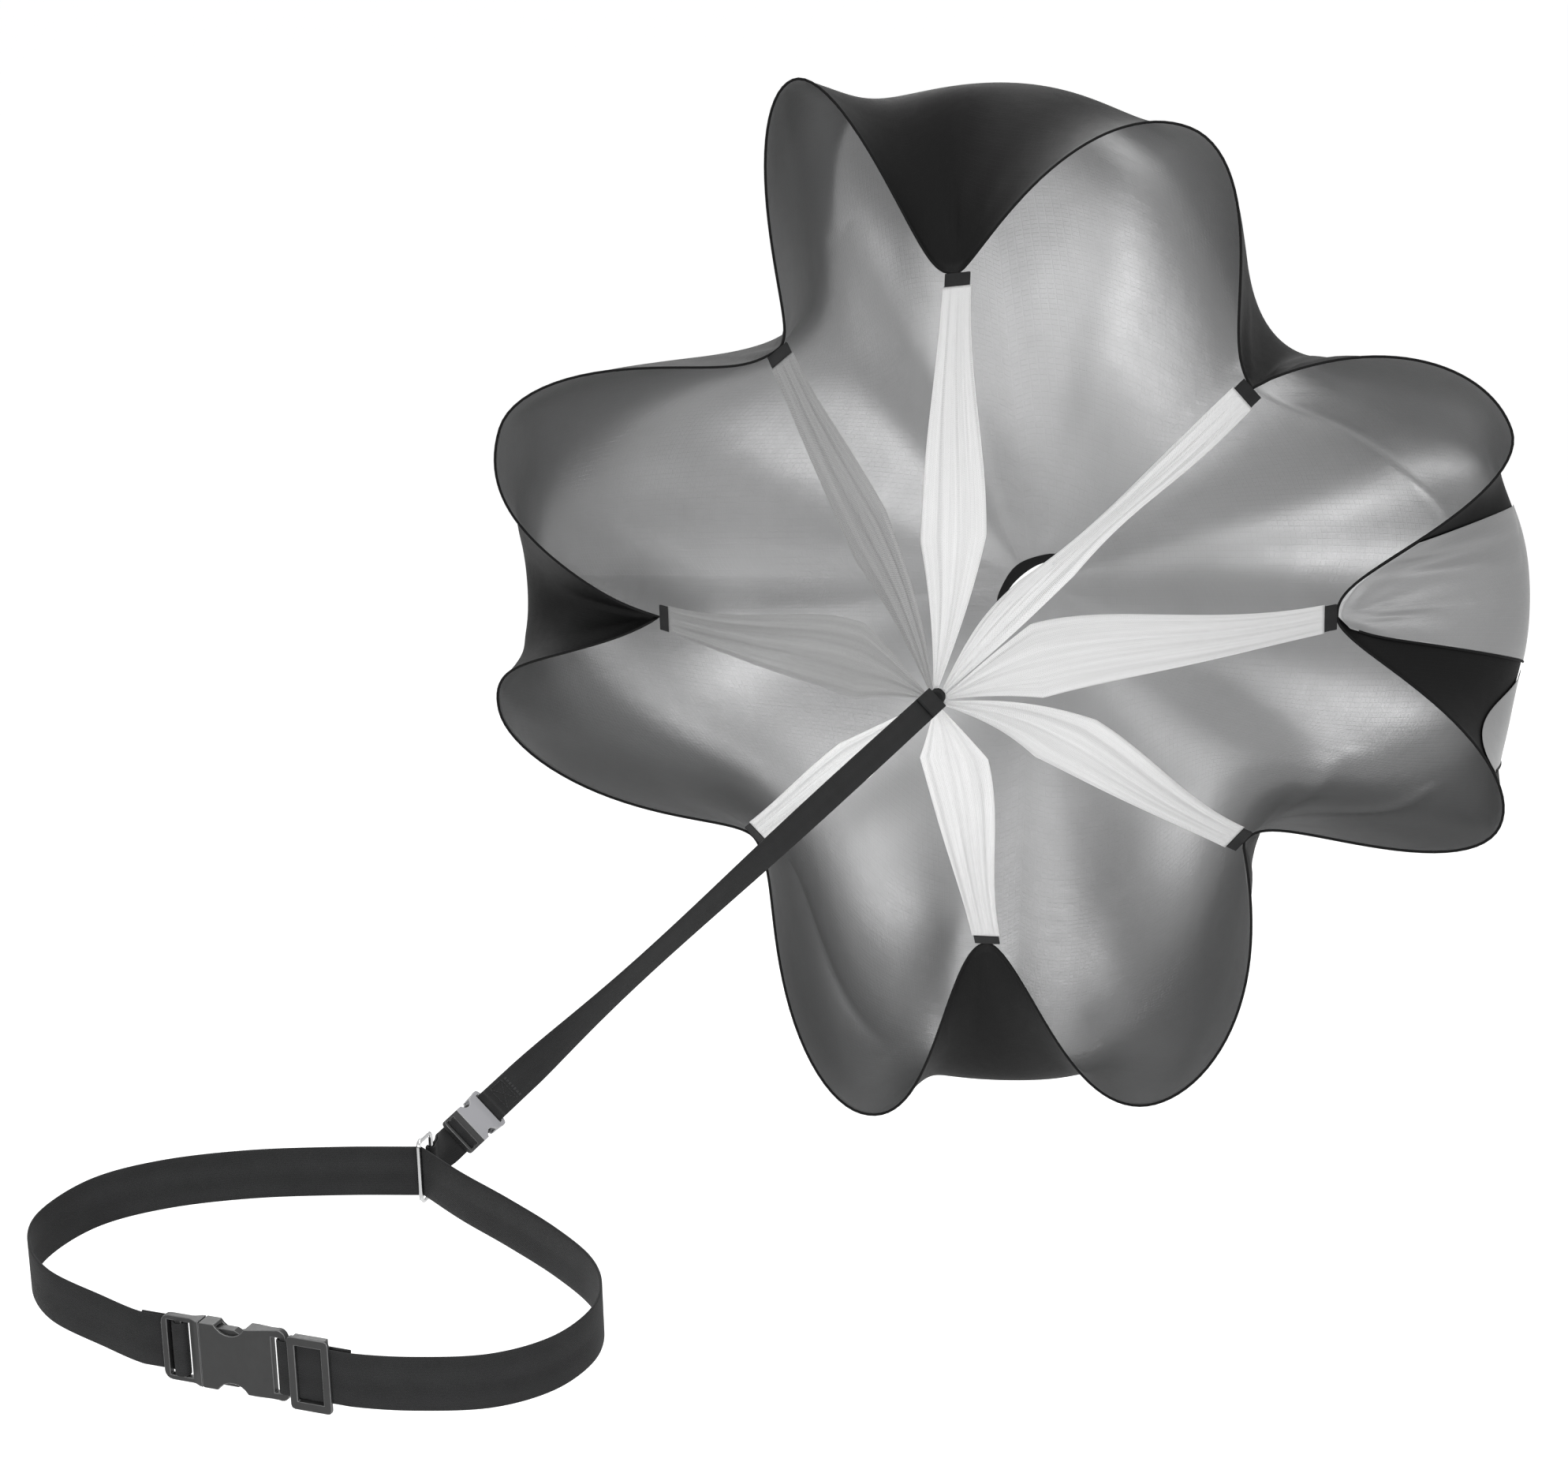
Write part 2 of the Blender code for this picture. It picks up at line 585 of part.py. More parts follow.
class Buckle:
    """A side-release buckle: its clip on the -X side of the mouth, its body on the +X side."""

    def __init__(self, name, web, matrix):
        self.name, self.web, self.matrix = name, web, matrix
        self.body_length = BODY_LENGTH_SHARE * web
        self.clip_length = CLIP_LENGTH_SHARE * web
        self.half = BODY_HALF_WIDTH_SHARE * web
        self.thickness = BUCKLE_THICKNESS_SHARE * web
        self.edge_thickness = EDGE_THICKNESS_SHARE * web
        self.bar = BAR_SHARE * web
        self.slot = SLOT_SHARE * web
        self.slot_half = web / 2 + WEB_SIDE_GAP
        self.cavity = CAVITY_SHARE * self.thickness
        self.mouth_half = MOUTH_HALF_SHARE * web
        self.post = POST_SHARE * web
        self.window = WINDOW_SHARE * web
        self.notch_depth = NOTCH_DEPTH_SHARE * web
        self.pad_half = self.half - PAD_SINK_SHARE * web
        self.arm = ARM_SHARE * web
        self.pocket = POCKET_SHARE * web
        self.pocket_width = POCKET_WIDTH_SHARE * self.arm
        self.end_bar_x = self.body_length - self.bar / 2
        self.middle_bar_x = -self.clip_length + self.bar + self.slot + self.bar / 2
        self.wrap = math.hypot(self.bar, self.edge_thickness) / 2 + CLEARANCE + WEB_THICKNESS / 2

    def side_profile(self, end, thin_to, thick_from, mouth):
        """The tapering side view: thin from the end to one place, thick from another to the mouth."""
        rise = np.linspace(0.0, 1.0, 5)
        eased = rise * rise * (3 - 2 * rise)
        xs = [end, *(thin_to + (thick_from - thin_to) * rise), mouth]
        growth = self.thickness - self.edge_thickness
        heights = [self.edge_thickness, *(self.edge_thickness + growth * eased), self.thickness]
        return mirrored(zip(xs, np.array(heights) / 2))

    def shape_thickness(self, piece, profile):
        """Give a flat piece its tapering side view."""
        turn = self.matrix @ Matrix.Rotation(math.radians(90.0), 4, "X")
        guide = plate(piece.name + "_side", [profile], 3 * self.web, piece.active_material, turn)
        combine(piece, guide, "INTERSECT")

    def cut_block(self, piece, label, low, high, operation="DIFFERENCE"):
        """Cut a box out of a piece, or join one to it."""
        tool = block(f"{self.name}_{label}", low, high, self.matrix, piece.active_material)
        combine(piece, tool, operation)

    def make_body(self, material):
        """The socket half: a hollow shell with a mouth, two side windows and a webbing slot."""
        half, length = self.half, self.body_length
        neck = half - NECK_SHARE * self.web
        chord = self.window / 2
        radius = (chord**2 + self.notch_depth**2) / (2 * self.notch_depth)
        spread = math.degrees(math.asin(chord / radius))
        notch_middle = (self.post + chord, neck + radius - self.notch_depth)
        notch = arc(notch_middle, radius, 270 - spread, 270 + spread, 8)
        ear_radius = EAR_SHARE * self.web
        ear = arc((length - ear_radius, half - ear_radius), ear_radius, 110, 0, 6)
        lip = NECK_SHARE * self.web / 2
        upper = [(0.0, neck - lip), (lip, neck), *map(tuple, notch), *map(tuple, ear)]
        slot_x = length - self.bar
        slot = rectangle(slot_x - self.slot, slot_x, self.slot_half)
        body = plate(f"{self.name}_body", [mirrored(upper), slot], self.thickness, material, self.matrix)
        thin_to = slot_x - self.slot / 2
        profile = self.side_profile(length + CUT_OVERRUN, thin_to, self.post + self.window, -CUT_OVERRUN)
        self.shape_thickness(body, profile)
        tall = self.cavity / 2
        wide = self.pad_half + PRONG_PLAY
        floor = self.post + self.window + PRONG_PLAY
        self.cut_block(body, "mouth", (-CUT_OVERRUN, -tall, -self.mouth_half),
                       (self.post + CUT_OVERRUN, tall, self.mouth_half))
        self.cut_block(body, "chamber", (self.post, -tall, -wide), (floor, tall, wide))
        return body

    def make_clip(self, material):
        """The plug half: a base with two webbing slots, a guide tongue and pockets for the prongs."""
        half, length = self.half - NECK_SHARE * self.web, self.clip_length
        corner = EAR_SHARE * self.web
        upper = [*map(tuple, arc((-length + corner, half - corner), corner, 180, 90, 4)), (-CLEARANCE, half)]
        slots = []
        for side in (-1, 1):
            middle = self.middle_bar_x + side * (self.bar + self.slot) / 2
            slots.append(rectangle(middle - self.slot / 2, middle + self.slot / 2, self.slot_half))
        clip = plate(f"{self.name}_clip", [mirrored(upper), *slots], self.thickness, material, self.matrix)
        thin_to = self.middle_bar_x + self.bar / 2 + self.slot
        profile = self.side_profile(-length - CUT_OVERRUN, thin_to, -CLEARANCE, CUT_OVERRUN)
        self.shape_thickness(clip, profile)
        tall = self.cavity / 2
        for label, side in (("upper", 1), ("lower", -1)):
            near, far = sorted((side * (self.mouth_half - self.pocket_width), side * self.mouth_half))
            self.cut_block(clip, f"pocket_{label}", (-self.pocket, -tall, near), (CUT_OVERRUN, tall, far))
        reach = self.post + self.window / 2
        self.cut_block(clip, "tongue", (-self.pocket, -tall + CLEARANCE, -self.arm),
                       (reach, tall - CLEARANCE, self.arm), "UNION")
        return clip

    def prong_pivot(self, side):
        """The place where a prong bends, in the buckle's own frame."""
        root = self.arm / 2
        inward = self.mouth_half - CLEARANCE - root
        return Vector((-self.pocket + CLEARANCE + root, 0.0, side * inward))

    def make_prong(self, label, side, material):
        """A springy prong: an arm from its root, with a pad in the side window and a square barb."""
        root = self.arm / 2
        pivot = self.prong_pivot(1)
        outer = self.mouth_half - CLEARANCE - pivot.z
        barb = self.post + CLEARANCE - pivot.x
        end = self.post + self.window - pivot.x
        pad = self.pad_half - pivot.z
        points = [*map(tuple, arc((0.0, 0.0), root, 270, 90, 6)), (barb, outer), (barb, pad)]
        points += [(barb + self.window * PAD_SLOPE_SHARE, pad), (end, outer), (end, -root)]
        points += [(barb + self.window * HEEL_PLACE_SHARE, -self.arm * HEEL_SHARE), (barb, -root)]
        outline = [(x, side * z) for x, z in points]
        tall = self.cavity - PRONG_PLAY
        place = self.matrix @ Matrix.Translation(self.prong_pivot(side))
        return plate(f"{self.name}_prong_{label}", [outline], tall, material, place)

    def make(self, body_material, clip_material):
        """All four pieces."""
        return [
            self.make_body(body_material),
            self.make_clip(clip_material),
            self.make_prong("upper", 1, clip_material),
            self.make_prong("lower", -1, clip_material),
        ]

    def threaded_end(self):
        """Webbing round the clip's middle bar: from the tail, over the bar, to the main run."""
        main_y = self.edge_thickness / 2 + CLEARANCE + WEB_THICKNESS / 2
        tail_y = main_y + LAYER_STEP
        bar = self.middle_bar_x
        over = arc((bar, 0.0), self.wrap, 75, -180, 14)
        under = arc((bar - self.wrap - main_y, 0.0), main_y, 15, 90, 5)
        threaded = [(bar - 2 * self.wrap, tail_y), *map(tuple, over), *map(tuple, under)]
        return threaded, main_y, tail_y

    def looped_end(self, run, front_y, tail_y):
        """Webbing round the body's end bar: from the front run, through the slot, to the tail behind."""
        bar = self.end_bar_x
        round_bar = arc((bar, 0.0), self.wrap, -90, -270, 12)
        near, far = bar + 2 * self.wrap, bar + 3 * self.wrap
        return [(near, front_y), *map(tuple, round_bar), (far, tail_y), (bar + run, tail_y)]


def on_plan(matrix, points):
    """Points of a local XY plane, on the world's XY plane."""
    return np.array([(matrix @ Vector((x, y, 0.0)))[:2] for x, y in points])


class Belt:
    """The waist belt: one strap from the clip round the waist to the body, and what rides on it."""

    def __init__(self):
        self.scale = np.array([BELT_HALF_WIDTH, BELT_HALF_DEPTH])
        mouth = np.array(BUCKLE_SHARES) * self.scale
        turn = Matrix.Rotation(math.radians(BUCKLE_TURN), 4, "Z")
        matrix = Matrix.Translation((mouth[0], mouth[1], 0.0)) @ turn
        self.buckle = Buckle("waist_buckle", BELT_WIDTH, matrix)
        self.front_y = -self.buckle.wrap
        self.tail_y = self.front_y + WEB_THICKNESS + GLIDE_BAR_THICKNESS + 2 * CLEARANCE
        self.glide_x = self.buckle.body_length + GLIDE_GAP
        self.ring_bar = np.array(RING_SHARES) * self.scale

    def way(self):
        """The middle line of the strap, from its left tail to its right tail."""
        knee = (RING_WIRE + WEB_THICKNESS) / 2 + CLEARANCE
        threaded, main_y, tail_y = self.buckle.threaded_end()
        leaving = self.buckle.middle_bar_x - BELT_FOLD
        left = on_plan(self.buckle.matrix, [(leaving, tail_y), *threaded, (leaving, main_y)])
        left_way = np.array(LEFT_WAY_SHARES) * self.scale
        right_way = np.array(RIGHT_WAY_SHARES) * self.scale
        into = math.degrees(math.atan2(*(self.ring_bar - left_way[-1])[::-1])) + 90
        out_of = math.degrees(math.atan2(*(right_way[0] - self.ring_bar)[::-1])) + 90
        bend = arc(self.ring_bar, knee, into, out_of, 6)
        end = self.glide_x + GLIDE_LENGTH + GLIDE_TRAVEL[1]
        right = on_plan(self.buckle.matrix, [(end, self.front_y), (self.glide_x, self.front_y)])
        loop = self.buckle.looped_end(end - self.buckle.end_bar_x, self.front_y, self.tail_y)
        last = on_plan(self.buckle.matrix, loop)
        steps = BELT_STEPS
        first_half = smooth_way(np.vstack([left[-2:], left_way, bend[:1]]), steps)[steps:]
        second_half = smooth_way(np.vstack([bend[-1:], right_way, right]), steps)[:-steps]
        return np.vstack([left, first_half[1:-1], bend, second_half[1:-1], right, last])

    def make_glide(self, material):
        """The tri-glide: two rails in front of the strap and a bar behind it, joined by two cheeks."""
        rail_back = self.front_y - WEB_THICKNESS / 2 - CLEARANCE
        rail_front = rail_back - GLIDE_RAIL_THICKNESS
        low_x, high_x = self.glide_x, self.glide_x + GLIDE_LENGTH
        inner = BELT_WIDTH / 2 + WEB_SIDE_GAP
        outer = inner + GLIDE_SIDE
        corner = GLIDE_SIDE / 2
        upper = [*map(tuple, arc((low_x + corner, outer - corner), corner, 180, 90, 3)),
                 *map(tuple, arc((high_x - corner, outer - corner), corner, 90, 0, 3))]
        window = rectangle(low_x + GLIDE_RAIL, high_x - GLIDE_RAIL, inner)
        place = self.buckle.matrix @ Matrix.Translation((0.0, (rail_front + rail_back) / 2, 0.0))
        glide = plate("tri_glide", [mirrored(upper), window], GLIDE_RAIL_THICKNESS, material, place)
        bar_back = self.tail_y - WEB_THICKNESS / 2 - CLEARANCE
        middle = (low_x + high_x) / 2
        for side in (-1, 1):
            near, far = sorted((side * inner, side * (outer - GLIDE_RAIL_THICKNESS / 4)))
            self.join(glide, f"cheek_{side + 1}", (low_x + corner, rail_front + CLEARANCE, near),
                      (high_x - corner, bar_back, far))
        self.join(glide, "bar", (middle - GLIDE_BAR / 2, bar_back - GLIDE_BAR_THICKNESS, -inner - CLEARANCE),
                  (middle + GLIDE_BAR / 2, bar_back - CLEARANCE / 3, inner + CLEARANCE))
        return glide

    def join(self, glide, label, low, high):
        """Join a box to the tri-glide."""
        tool = block(f"tri_glide_{label}", low, high, self.buckle.matrix, glide.active_material)
        combine(glide, tool, "UNION")

    def make(self, webbing, plastic):
        """The strap, its buckle and its tri-glide."""
        pieces = [strap("belt_webbing", self.way(), BELT_WIDTH, webbing)]
        pieces += self.buckle.make(plastic, plastic)
        pieces.append(self.make_glide(plastic))
        carry("waist", Matrix(), pieces)


class Tether:
    """The line from the belt's ring to the hub: ring, pigtail, buckle and tether."""

    def __init__(self, belt, frame):
        self.frame = frame
        front_bar = Vector((*belt.ring_bar, 0.0))
        along = Vector((HUB_SIDE_LENGTH - front_bar.x, HUB_BACK_LENGTH - front_bar.y, 0.0)).normalized()
        self.front_bar, self.along = front_bar, along
        self.rear_bar = front_bar + along * RING_DEPTH
        up = Vector((0.0, 0.0, 1.0))
        self.upright = Matrix((along, up.cross(along), up)).transposed().to_4x4()
        self.basis = self.upright @ Matrix.Rotation(math.radians(-TETHER_ROLL), 4, "X")
        flat = Buckle("tether_buckle", TETHER_WIDTH, Matrix())
        _, main_y, tail_y = flat.threaded_end()
        self.eye_y = (main_y + tail_y) / 2
        self.eye_x = flat.middle_bar_x - PIGTAIL_LENGTH
        shift = self.basis @ Vector((self.eye_x, self.eye_y, 0.0))
        self.matrix = Matrix.Translation(self.rear_bar - shift) @ self.basis
        self.buckle = Buckle("tether_buckle", TETHER_WIDTH, self.matrix)

    def make_ring(self, chrome):
        """The welded ring: a rounded rectangle of round wire, upright."""
        half = (RING_HEIGHT - RING_WIRE) / 2
        corner, depth = RING_CORNER, RING_DEPTH
        flat = [
            *map(tuple, arc((corner, half - corner), corner, 180, 90, 4)),
            *map(tuple, arc((depth - corner, half - corner), corner, 90, 0, 4)),
            *map(tuple, arc((depth - corner, corner - half), corner, 0, -90, 4)),
            *map(tuple, arc((corner, corner - half), corner, -90, -180, 4)),
        ]
        curve = bpy.data.curves.new("belt_ring", "CURVE")
        curve.dimensions = "3D"
        curve.bevel_depth = RING_WIRE / 2
        curve.bevel_resolution = 2
        spline = curve.splines.new("POLY")
        spline.points.add(len(flat) - 1)
        for point, (reach, height) in zip(spline.points, flat):
            point.co = (reach, 0.0, height, 1.0)
        spline.use_cyclic_u = True
        ring = bpy.data.objects.new("belt_ring", curve)
        bpy.data.collections[COLLECTION].objects.link(ring)
        curve.materials.append(chrome)
        ring.matrix_world = Matrix.Translation(self.front_bar) @ self.upright

    def make_pigtail(self, webbing):
        """A sewn loop of webbing from the ring's rear bar, through the clip, and back."""
        threaded, main_y, tail_y = self.buckle.threaded_end()
        eye = (RING_WIRE + WEB_THICKNESS) / 2 + CLEARANCE
        centre = (self.eye_x, self.eye_y)
        round_ring = arc(centre, eye, -70, -290, 12)
        far, near = self.buckle.middle_bar_x - 3 * self.buckle.wrap, self.eye_x + 2 * RING_WIRE
        run = np.linspace(far, near, PIGTAIL_ROWS)
        tail = [(x, tail_y) for x in run[::-1]]
        main_run = [(x, main_y) for x in run]
        flat = np.array([*tail, *threaded, *main_run, *map(tuple, round_ring)])
        share = np.clip((flat[:, 0] - near) / (far - near), 0.0, 1.0)
        roll = math.radians(TETHER_ROLL) * (1.0 - share * share * (3 - 2 * share))
        grid = np.zeros((2, len(flat), 3))
        for row, side in enumerate((-0.5, 0.5)):
            high = np.full(len(flat), side * TETHER_WIDTH)
            away = flat[:, 1] - self.eye_y
            grid[row, :, 0] = flat[:, 0]
            grid[row, :, 1] = self.eye_y + away * np.cos(roll) - high * np.sin(roll)
            grid[row, :, 2] = away * np.sin(roll) + high * np.cos(roll)
        return sheet("pigtail_webbing", grid, WEB_THICKNESS, webbing, wrap=True, matrix=self.matrix)

    def make_tether(self, webbing):
        """The tether: looped and sewn at the buckle, taut and rocked on its way, folded at the hub."""
        half_gap = LAYER_STEP / 2
        loop = self.buckle.looped_end(TETHER_FOLD, -half_gap, half_gap)[::-1]
        local = np.array([(x, y, 0.0) for x, y in loop])
        local = np.vstack([local, [local[-1] + (TETHER_FOLD, 0.0, 0.0)]])
        world = np.array([self.matrix @ Vector(p) for p in local])
        across = np.array(self.basis @ Vector((0.0, 0.0, 1.0)))
        end_gap = HUB_CORE_LENGTH / 2 + CLEARANCE + (LAYER_STEP + WEB_THICKNESS) / 2
        stop = self.frame.hub - self.frame.axis * end_gap - np.array(self.along) * TETHER_HUB_GAP
        share = np.linspace(0.0, 1.0, TETHER_ROWS)[1:, None]
        start = world[-1]
        line = start + (stop - start) * share
        rock = math.radians(TETHER_ROCK) * np.sin(np.pi * share**0.5) ** 2
        along = unit(stop - start)
        normal = np.cross(along, across)
        acrosses = np.cos(rock) * across + np.sin(rock) * normal
        fold_turn = np.radians(np.linspace(-60.0, 90.0, 6))[:, None]
        fold = stop + half_gap * (np.cos(fold_turn) * along + (np.sin(fold_turn) + 1.0) * normal)
        back = fold[-1] - along * np.array([[TETHER_END_FOLD / 2], [TETHER_END_FOLD]])
        centres = np.vstack([world, line, fold, back])
        flat = np.broadcast_to(across, (len(fold) + len(back), 3))
        all_across = np.vstack([np.broadcast_to(across, world.shape), acrosses, flat])
        return ribbon("tether_webbing", centres, all_across, TETHER_WIDTH, webbing)

    def make(self, canopy, webbing, chrome, light, dark):
        """Every piece of the line, and the canopy that it carries."""
        self.make_ring(chrome)
        line = [self.make_pigtail(webbing), *self.buckle.make(light, dark)]
        carry("pigtail_axis", Matrix.Translation(self.rear_bar) @ self.upright, line)
        end_bar = Matrix.Translation((self.buckle.end_bar_x, 0.0, 0.0))
        carry("tether_axis", self.matrix @ end_bar, [self.make_tether(webbing), *canopy])


def main():
    """Build every piece."""
    clear_scene()
    webbing = finish("black_webbing", (0.02, 0.02, 0.022), 0.85)
    cloth = finish("canopy_cloth", (0.30, 0.30, 0.31), 0.45)
    net = finish("white_net", (0.80, 0.80, 0.80), 0.80)
    plastic = finish("black_plastic", (0.03, 0.03, 0.033), 0.45)
    light = finish("grey_plastic", (0.22, 0.22, 0.23), 0.45)
    chrome = finish("bright_wire", (0.75, 0.75, 0.76), 0.18, 1.0)
    frame = CanopyFrame()
    canopy = [*make_canopy(frame, cloth, webbing), *make_strips(frame, net)]
    canopy += [*make_tabs(frame, webbing), make_hub(frame, webbing)]
    belt = Belt()
    belt.make(webbing, plastic)
    Tether(belt, frame).make(canopy, webbing, chrome, light, plastic)


main()
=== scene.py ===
"""Speed parachute in flight: a silver-lined square canopy on eight net strips, a webbing tether with a
side-release buckle, a wire ring and a waist belt.

Lengths are in metres. +Z is up, the wearer faces -Y and the canopy flies towards +Y.
"""

import json
import logging
import math
from dataclasses import dataclass, field
from enum import Enum
from typing import Any

import bmesh
import bpy
import numpy as np
from mathutils import Matrix, Vector

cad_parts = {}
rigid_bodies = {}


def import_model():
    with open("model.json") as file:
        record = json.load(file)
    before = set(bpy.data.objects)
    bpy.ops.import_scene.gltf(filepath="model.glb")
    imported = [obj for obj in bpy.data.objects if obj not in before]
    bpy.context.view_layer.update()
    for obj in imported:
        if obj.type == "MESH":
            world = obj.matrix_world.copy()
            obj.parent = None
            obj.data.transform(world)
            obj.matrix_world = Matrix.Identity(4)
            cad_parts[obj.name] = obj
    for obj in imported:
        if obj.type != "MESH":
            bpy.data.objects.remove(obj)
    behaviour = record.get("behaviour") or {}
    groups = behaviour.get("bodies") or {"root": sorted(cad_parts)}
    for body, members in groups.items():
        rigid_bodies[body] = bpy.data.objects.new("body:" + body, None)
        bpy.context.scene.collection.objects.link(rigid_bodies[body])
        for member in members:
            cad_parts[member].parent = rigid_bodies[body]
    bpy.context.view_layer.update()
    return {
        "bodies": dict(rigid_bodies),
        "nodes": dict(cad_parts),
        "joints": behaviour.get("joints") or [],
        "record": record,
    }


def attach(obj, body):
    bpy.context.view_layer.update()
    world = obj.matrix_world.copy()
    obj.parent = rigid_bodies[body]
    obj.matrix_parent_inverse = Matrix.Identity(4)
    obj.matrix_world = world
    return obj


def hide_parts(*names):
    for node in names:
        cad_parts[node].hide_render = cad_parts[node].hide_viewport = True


log = logging.getLogger("speed_parachute")
Array = np.ndarray
Colour = tuple[float, float, float, float]
UV_NAME = "flat_cloth"
# The longest step along a strap, and the least angle of an edge that is rounded
STRAP_STEP = 0.004
CORNER_ANGLE = math.radians(32.0)


# Shader maths


class Term:
    """A socket of a shader tree, whose operators add Math nodes."""

    def __init__(self, tree: "ShaderTree", socket: bpy.types.NodeSocket) -> None:
        """Wrap one output socket of a tree."""
        self.tree, self.socket = tree, socket

    def __add__(self, other: Any) -> "Term":
        """Sum."""
        return self.tree.maths("ADD", self, other)

    def __sub__(self, other: Any) -> "Term":
        """Difference."""
        return self.tree.maths("SUBTRACT", self, other)

    def __rsub__(self, other: Any) -> "Term":
        """Difference from a number."""
        return self.tree.maths("SUBTRACT", other, self)

    def __mul__(self, other: Any) -> "Term":
        """Product."""
        return self.tree.maths("MULTIPLY", self, other)

    __radd__, __rmul__ = __add__, __mul__


class ShaderTree:
    """The node tree of a material or a world, and the one place where its nodes are added."""

    def __init__(self, name: str, world: bool = False) -> None:
        """Start an empty material, or an empty world."""
        self.owner = (bpy.data.worlds if world else bpy.data.materials).new(name)
        self.output = "OutputWorld" if world else "OutputMaterial"
        self.owner.use_nodes = True
        self.nodes = self.owner.node_tree.nodes
        self.links = self.owner.node_tree.links
        self.nodes.clear()

    def node(self, kind: str, inputs: dict | None = None, output: int | str = 0, **settings: Any) -> Term:
        """Add a node.

        Args:
            kind: the node's type without its ShaderNode prefix.
            inputs: values or terms by socket name or number.
            output: the output socket to hand back.
            **settings: the node's own settings, set first.

        Returns:
            The chosen output.
        """
        made = self.nodes.new("ShaderNode" + kind)
        for name, value in settings.items():
            setattr(made, name, value)
        for socket, value in (inputs or {}).items():
            if isinstance(value, Term):
                self.links.new(value.socket, made.inputs[socket])
            else:
                made.inputs[socket].default_value = value
        return Term(self, made.outputs[output]) if made.outputs else None

    def maths(self, operation: str, *values: Any, clamp: bool = False) -> Term:
        """The result of a Math node on numbers or terms, kept from 0 to 1 if it is clamped."""
        return self.node("Math", dict(enumerate(values)), operation=operation, use_clamp=clamp)

    def mix(self, factor: Any, first: Any, second: Any) -> Term:
        """A colour between two colours, by a factor from 0 to 1."""
        return self.node("Mix", {0: factor, 6: first, 7: second}, 2, data_type="RGBA")

    def tone(self, value: Term, offset: float, dark: Colour, bright: Colour) -> Term:
        """A colour between a dark and a bright one, by a value plus an offset, kept from 0 to 1."""
        return self.mix(self.maths("ADD", value, offset, clamp=True), dark, bright)

    def noise(self, vector: Term, scale: float, detail: float = 3.0, rough: float = 0.5) -> Term:
        """Fractal noise of a scale in waves per metre."""
        return self.node("TexNoise", {"Vector": vector, "Scale": scale, "Detail": detail, "Roughness": rough})

    def streaks(self, vector: Term, scales: tuple[float, float, float]) -> Term:
        """Fractal noise that is drawn out, with a scale for each direction."""
        return self.noise(self.node("Mapping", {"Vector": vector, "Scale": scales}), 1.0, 4.0)

    def bump(self, height: Term, distance: float, strength: float = 1.0) -> Term:
        """The normal that a height bends, where a height of one is a distance in metres."""
        return self.node("Bump", {"Height": height, "Distance": distance, "Strength": strength})

    def position(self) -> Term:
        """Coordinates in the object's own frame."""
        return self.node("TexCoord", output="Object")

    def cloth_place(self) -> tuple[Term, Term, Term]:
        """The place on the flat cloth by the UV map, in metres, as a vector and as its two parts."""
        place = self.node("UVMap", uv_map=UV_NAME)
        along = self.node("SeparateXYZ", {0: place})
        return place, along, Term(self, along.socket.node.outputs[1])

    def wave(self, value: Term, pitch: float) -> Term:
        """A sine from 0 to 1 with a pitch in metres."""
        return self.maths("SINE", value * (2 * math.pi / pitch)) * 0.5 + 0.5

    def seen(self) -> Term:
        """One for rays from the camera and in reflections and glass, and zero for the rest of the light."""
        camera = self.node("LightPath", output="Is Camera Ray")
        outputs = camera.socket.node.outputs
        mirrored = Term(self, outputs["Is Glossy Ray"]) + Term(self, outputs["Is Transmission Ray"])
        return self.maths("ADD", camera, mirrored, clamp=True)

    def finish(self, shader: Term) -> bpy.types.Material | bpy.types.World:
        """Connect the surface and hand the material or world over."""
        self.node(self.output, {"Surface": shader})
        return self.owner

    def surfaced(self, inputs: dict) -> bpy.types.Material:
        """Finish the material with a Principled surface."""
        return self.finish(self.node("BsdfPrincipled", inputs))


def grey(level: float, tint: float = 0.0) -> Colour:
    """A near neutral colour, a little bluer with a positive tint."""
    return (level * (1 - tint), level, level * (1 + tint), 1.0)


@dataclass(frozen=True)
class CoatedCloth:
    """Coated ripstop cloth: a fine plain weave, a square grid of thicker threads, a satin coat, and painted
    sheen in soft blotches of its colour.

    Attributes:
        name: the material's name.
        level: the colour's grey level.
        roughness: how matt the coat is.
        metallic: how metallic the coat is.
        specular: the strength of its plain reflection.
        grid_pitch: metres from one thicker thread to the next.
        weave_pitch: metres from one thread of the weave to the next.
    """

    name: str
    level: float
    roughness: float
    metallic: float = 0.0
    specular: float = 0.5
    grid_pitch: float = 0.0052
    weave_pitch: float = 0.0009

    def material(self) -> bpy.types.Material:
        """Build the material."""
        tree = ShaderTree(self.name)
        place, along, across = tree.cloth_place()
        weave = tree.wave(along, self.weave_pitch) * tree.wave(across, self.weave_pitch)
        grid = tree.maths("MAXIMUM", self._thread(tree, along), self._thread(tree, across))
        cloud = tree.noise(place, 9.0, 4.0, 0.55)
        crush = tree.noise(place, 55.0, 5.0, 0.6)
        # The cloud noise lightens and darkens the colour in soft blotches as painted sheen; crush and grid
        # add small tone steps on crumples and thicker threads.
        tone = cloud * 0.22 + crush * 0.10 + grid * 0.05 - 0.17
        height = weave * 0.25 + grid * 0.8 + crush * 1.6
        return tree.surfaced({
            "Base Color": tree.tone(tone, 0.5, grey(self.level * 0.80), grey(self.level * 1.20, 0.01)),
            "Roughness": crush * 0.10 + cloud * 0.10 + (self.roughness - 0.10),
            "Metallic": self.metallic, "Specular IOR Level": self.specular,
            "Normal": tree.bump(height, 0.00035, 0.45),
        })

    def _thread(self, tree: ShaderTree, value: Term) -> Term:
        """A raised thread once every grid pitch."""
        return tree.maths("GREATER_THAN", tree.wave(value, self.grid_pitch), 0.93)


